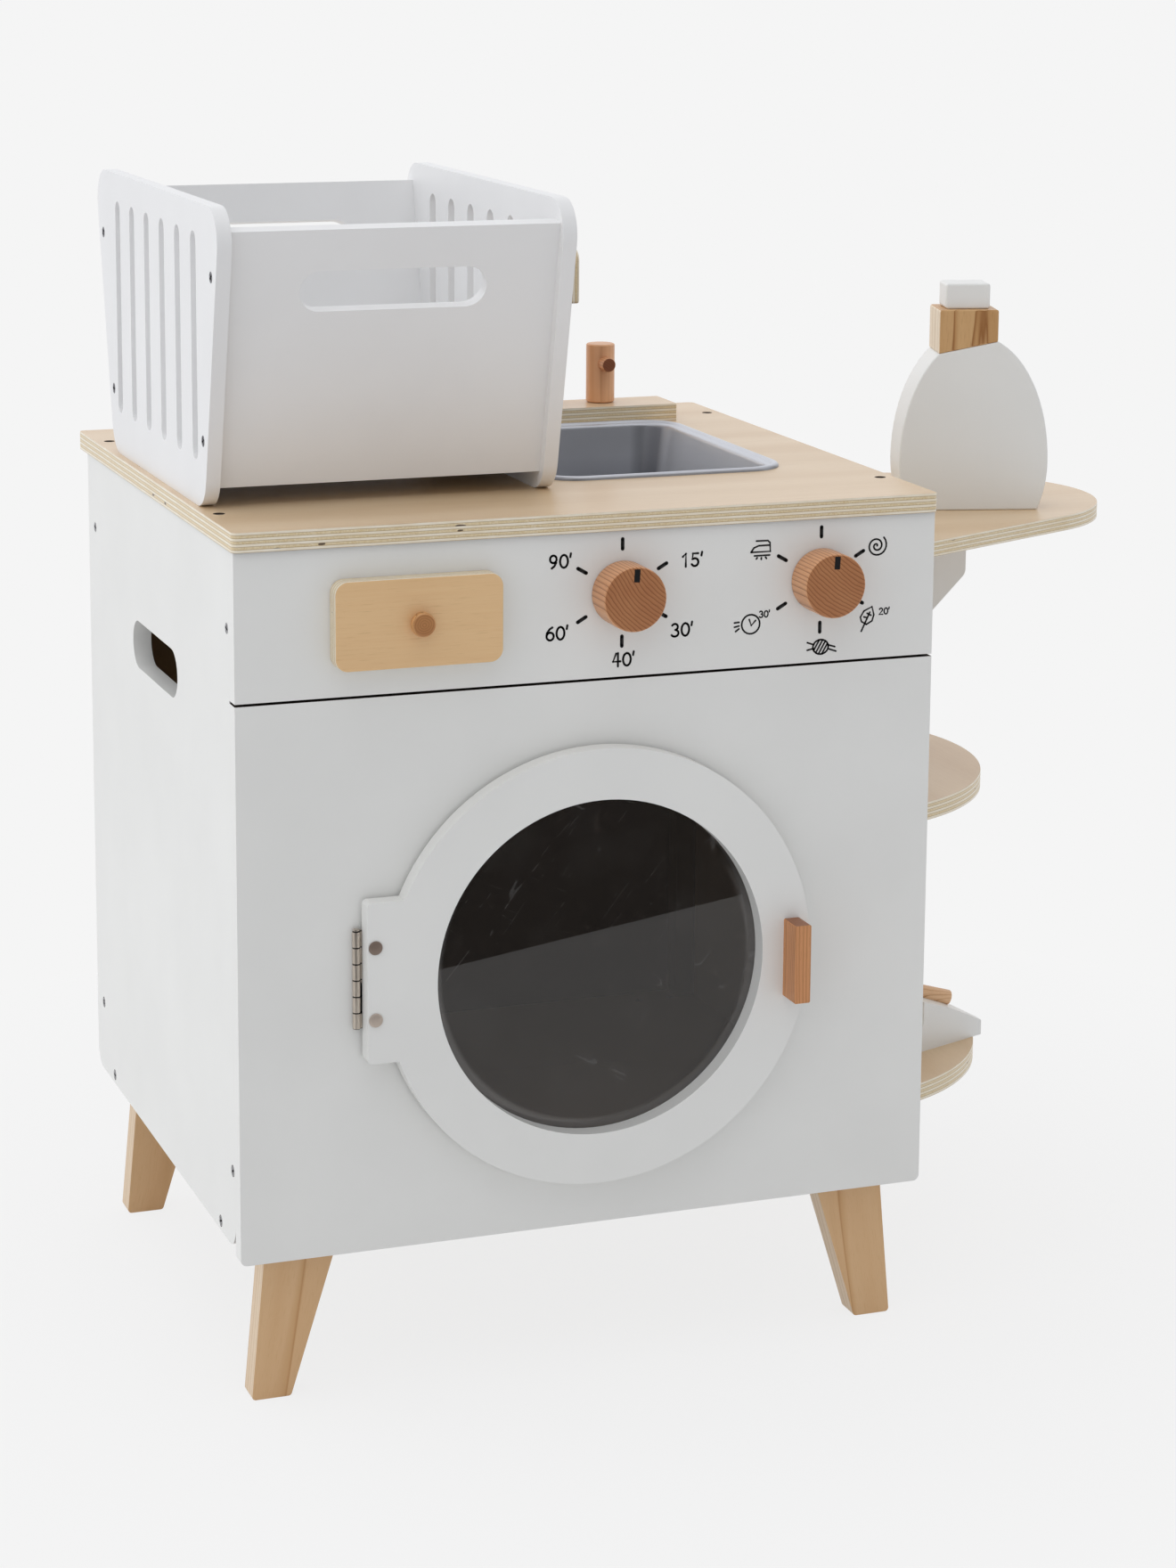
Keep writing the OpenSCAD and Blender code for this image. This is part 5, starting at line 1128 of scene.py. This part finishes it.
def pointer(node):
    """Black bar inlaid at the top edge of a dial's face, turned three degrees past upright."""
    low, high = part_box(node)
    tool = bmesh.new()
    bmesh.ops.create_cube(tool, size=1.0)
    bmesh.ops.scale(tool, vec=Vector((4.0, 0.5, 8.3)) * MM, verts=tool.verts)
    bmesh.ops.bevel(tool, geom=tool.edges, offset=0.15 * MM, segments=2, affect="EDGES")
    bmesh.ops.translate(tool, vec=Vector((0, 0, 14.6)) * MM, verts=tool.verts)
    mesh = mesh_from(tool, node + "_pointer")
    middle = (low + high) / 2
    middle.y = low.y + 0.2 * MM
    mesh.transform(Matrix.Translation(middle) @ Matrix.Rotation(math.radians(3), 4, "Y"))
    obj = new_object(node + "_pointer", sharp_by_angle(mesh), [INK])
    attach(obj, body_of_node(node))


pointer("left_dial")
pointer("right_dial")


# ---------------------------------------------------------------- floor, backdrop and light
def stage_plane(name, points, material):
    """A flat stage piece through four points."""
    mesh = bpy.data.meshes.new(name)
    mesh.from_pydata(points, [], [tuple(range(len(points)))])
    obj = new_object(name, mesh, [material])
    return obj


def floor_paper():
    """Pale seamless paper. Close to the object it shows its soft shadow, and further out it
    fades into the even backdrop."""
    material, tree, place = start("pale_paper")
    paper = {"Base Color": rgb("#EDEDED"), "Roughness": 0.9, "Specular IOR Level": 0.0}
    paper = add(tree, "ShaderNodeBsdfPrincipled", paper)
    glow = add(tree, "ShaderNodeEmission", {"Color": rgb("#F5F5F5"), "Strength": 1.0})
    reach = add(tree, "ShaderNodeVectorMath", {0: place["Object"]}, operation="LENGTH").outputs["Value"]
    fade = {"Value": reach, "From Min": 0.3, "From Max": 0.75, "To Min": 0.87, "To Max": 1.0}
    fade = add(tree, "ShaderNodeMapRange", fade)
    rays = add(tree, "ShaderNodeLightPath").outputs
    mirrored = {0: rays["Is Glossy Ray"], 1: rays["Is Transmission Ray"]}
    mirrored = add(tree, "ShaderNodeMath", mirrored, operation="MAXIMUM")
    seen = add(tree, "ShaderNodeMath", {0: rays["Is Camera Ray"], 1: mirrored}, operation="MAXIMUM")
    share = add(tree, "ShaderNodeMath", {0: seen, 1: fade}, operation="MULTIPLY")
    mixed = add(tree, "ShaderNodeMixShader", {0: share, 1: paper, 2: glow})
    add(tree, "ShaderNodeOutputMaterial", {"Surface": mixed})
    return material


floor_half = 12
floor_corners = [Vector((x, y, 0)) * floor_half for x, y in ((-1, -1), (1, -1), (1, 1), (-1, 1))]
stage_plane("floor", floor_corners, floor_paper())


def flag():
    """Black flag behind the camera: only mirrors see it, where the paper's front edge ends."""
    material = surface(start("black_flag")[0], {"Base Color": rgb("#101010")})
    a, b = at(393, -829, -95), at(743, -966, -95)
    half_width, rise = (b - a).normalized() * 6, Vector((0, 0, 2.4))
    first, last = a - half_width, a + half_width
    obj = stage_plane("flag", [first, last, last + rise, first + rise], material)
    obj.visible_camera = False
    obj.visible_diffuse = False
    obj.visible_transmission = False
    obj.visible_shadow = False
    obj.visible_volume_scatter = False


flag()

world = bpy.data.worlds.new("studio")
bpy.context.scene.world = world
world.use_nodes = True
tree = world.node_tree
tree.nodes.clear()
way = add(tree, "ShaderNodeTexCoord").outputs["Generated"]
way = add(tree, "ShaderNodeSeparateXYZ", {"Vector": way}).outputs
# bright walls on both sides of the object, a dimmer one behind it, and none where the camera stands
left_wall = {"Value": way[0], "From Min": 0.4, "From Max": -1.0, "To Max": 1.06}
left_wall = add(tree, "ShaderNodeMapRange", left_wall)
right_wall = {"Value": way[0], "From Min": -0.4, "From Max": 1.0, "To Max": 0.72}
right_wall = add(tree, "ShaderNodeMapRange", right_wall)
back_wall = {"Value": way[1], "From Min": -0.6, "From Max": 1.0, "To Max": 0.6}
back_wall = add(tree, "ShaderNodeMapRange", back_wall)
glow = add(tree, "ShaderNodeMath", {0: left_wall, 1: right_wall}, operation="ADD")
glow = add(tree, "ShaderNodeMath", {0: glow, 1: back_wall}, operation="ADD")
soft = add(tree, "ShaderNodeBackground", {"Color": rgb("#FBFCFF"), "Strength": glow})
plain = add(tree, "ShaderNodeBackground", {"Color": rgb("#F5F5F5"), "Strength": 1.0})
rays = add(tree, "ShaderNodeLightPath").outputs
seen = {0: rays["Is Camera Ray"], 1: rays["Is Transmission Ray"]}
seen = add(tree, "ShaderNodeMath", seen, operation="MAXIMUM")
mixed = add(tree, "ShaderNodeMixShader", {0: seen, 1: soft, 2: plain})
add(tree, "ShaderNodeOutputWorld", {"Surface": mixed})


def lamp(name, place, target, size, power):
    """Large soft white lamp that points at a target."""
    data = bpy.data.lights.new(name, "AREA")
    data.shape = "RECTANGLE"
    data.size, data.size_y = size
    data.energy = power
    obj = linked_object(name, data)
    obj.location = place
    obj.rotation_euler = (Vector(target) - Vector(place)).to_track_quat("-Z", "Y").to_euler()
    obj.visible_camera = False


lamp("top_soft_box", (-0.5, -0.7, 2.4), (-0.1, 0, 0.4), (2.0, 2.0), 8)
bpy.context.scene.view_settings.view_transform = "Standard"
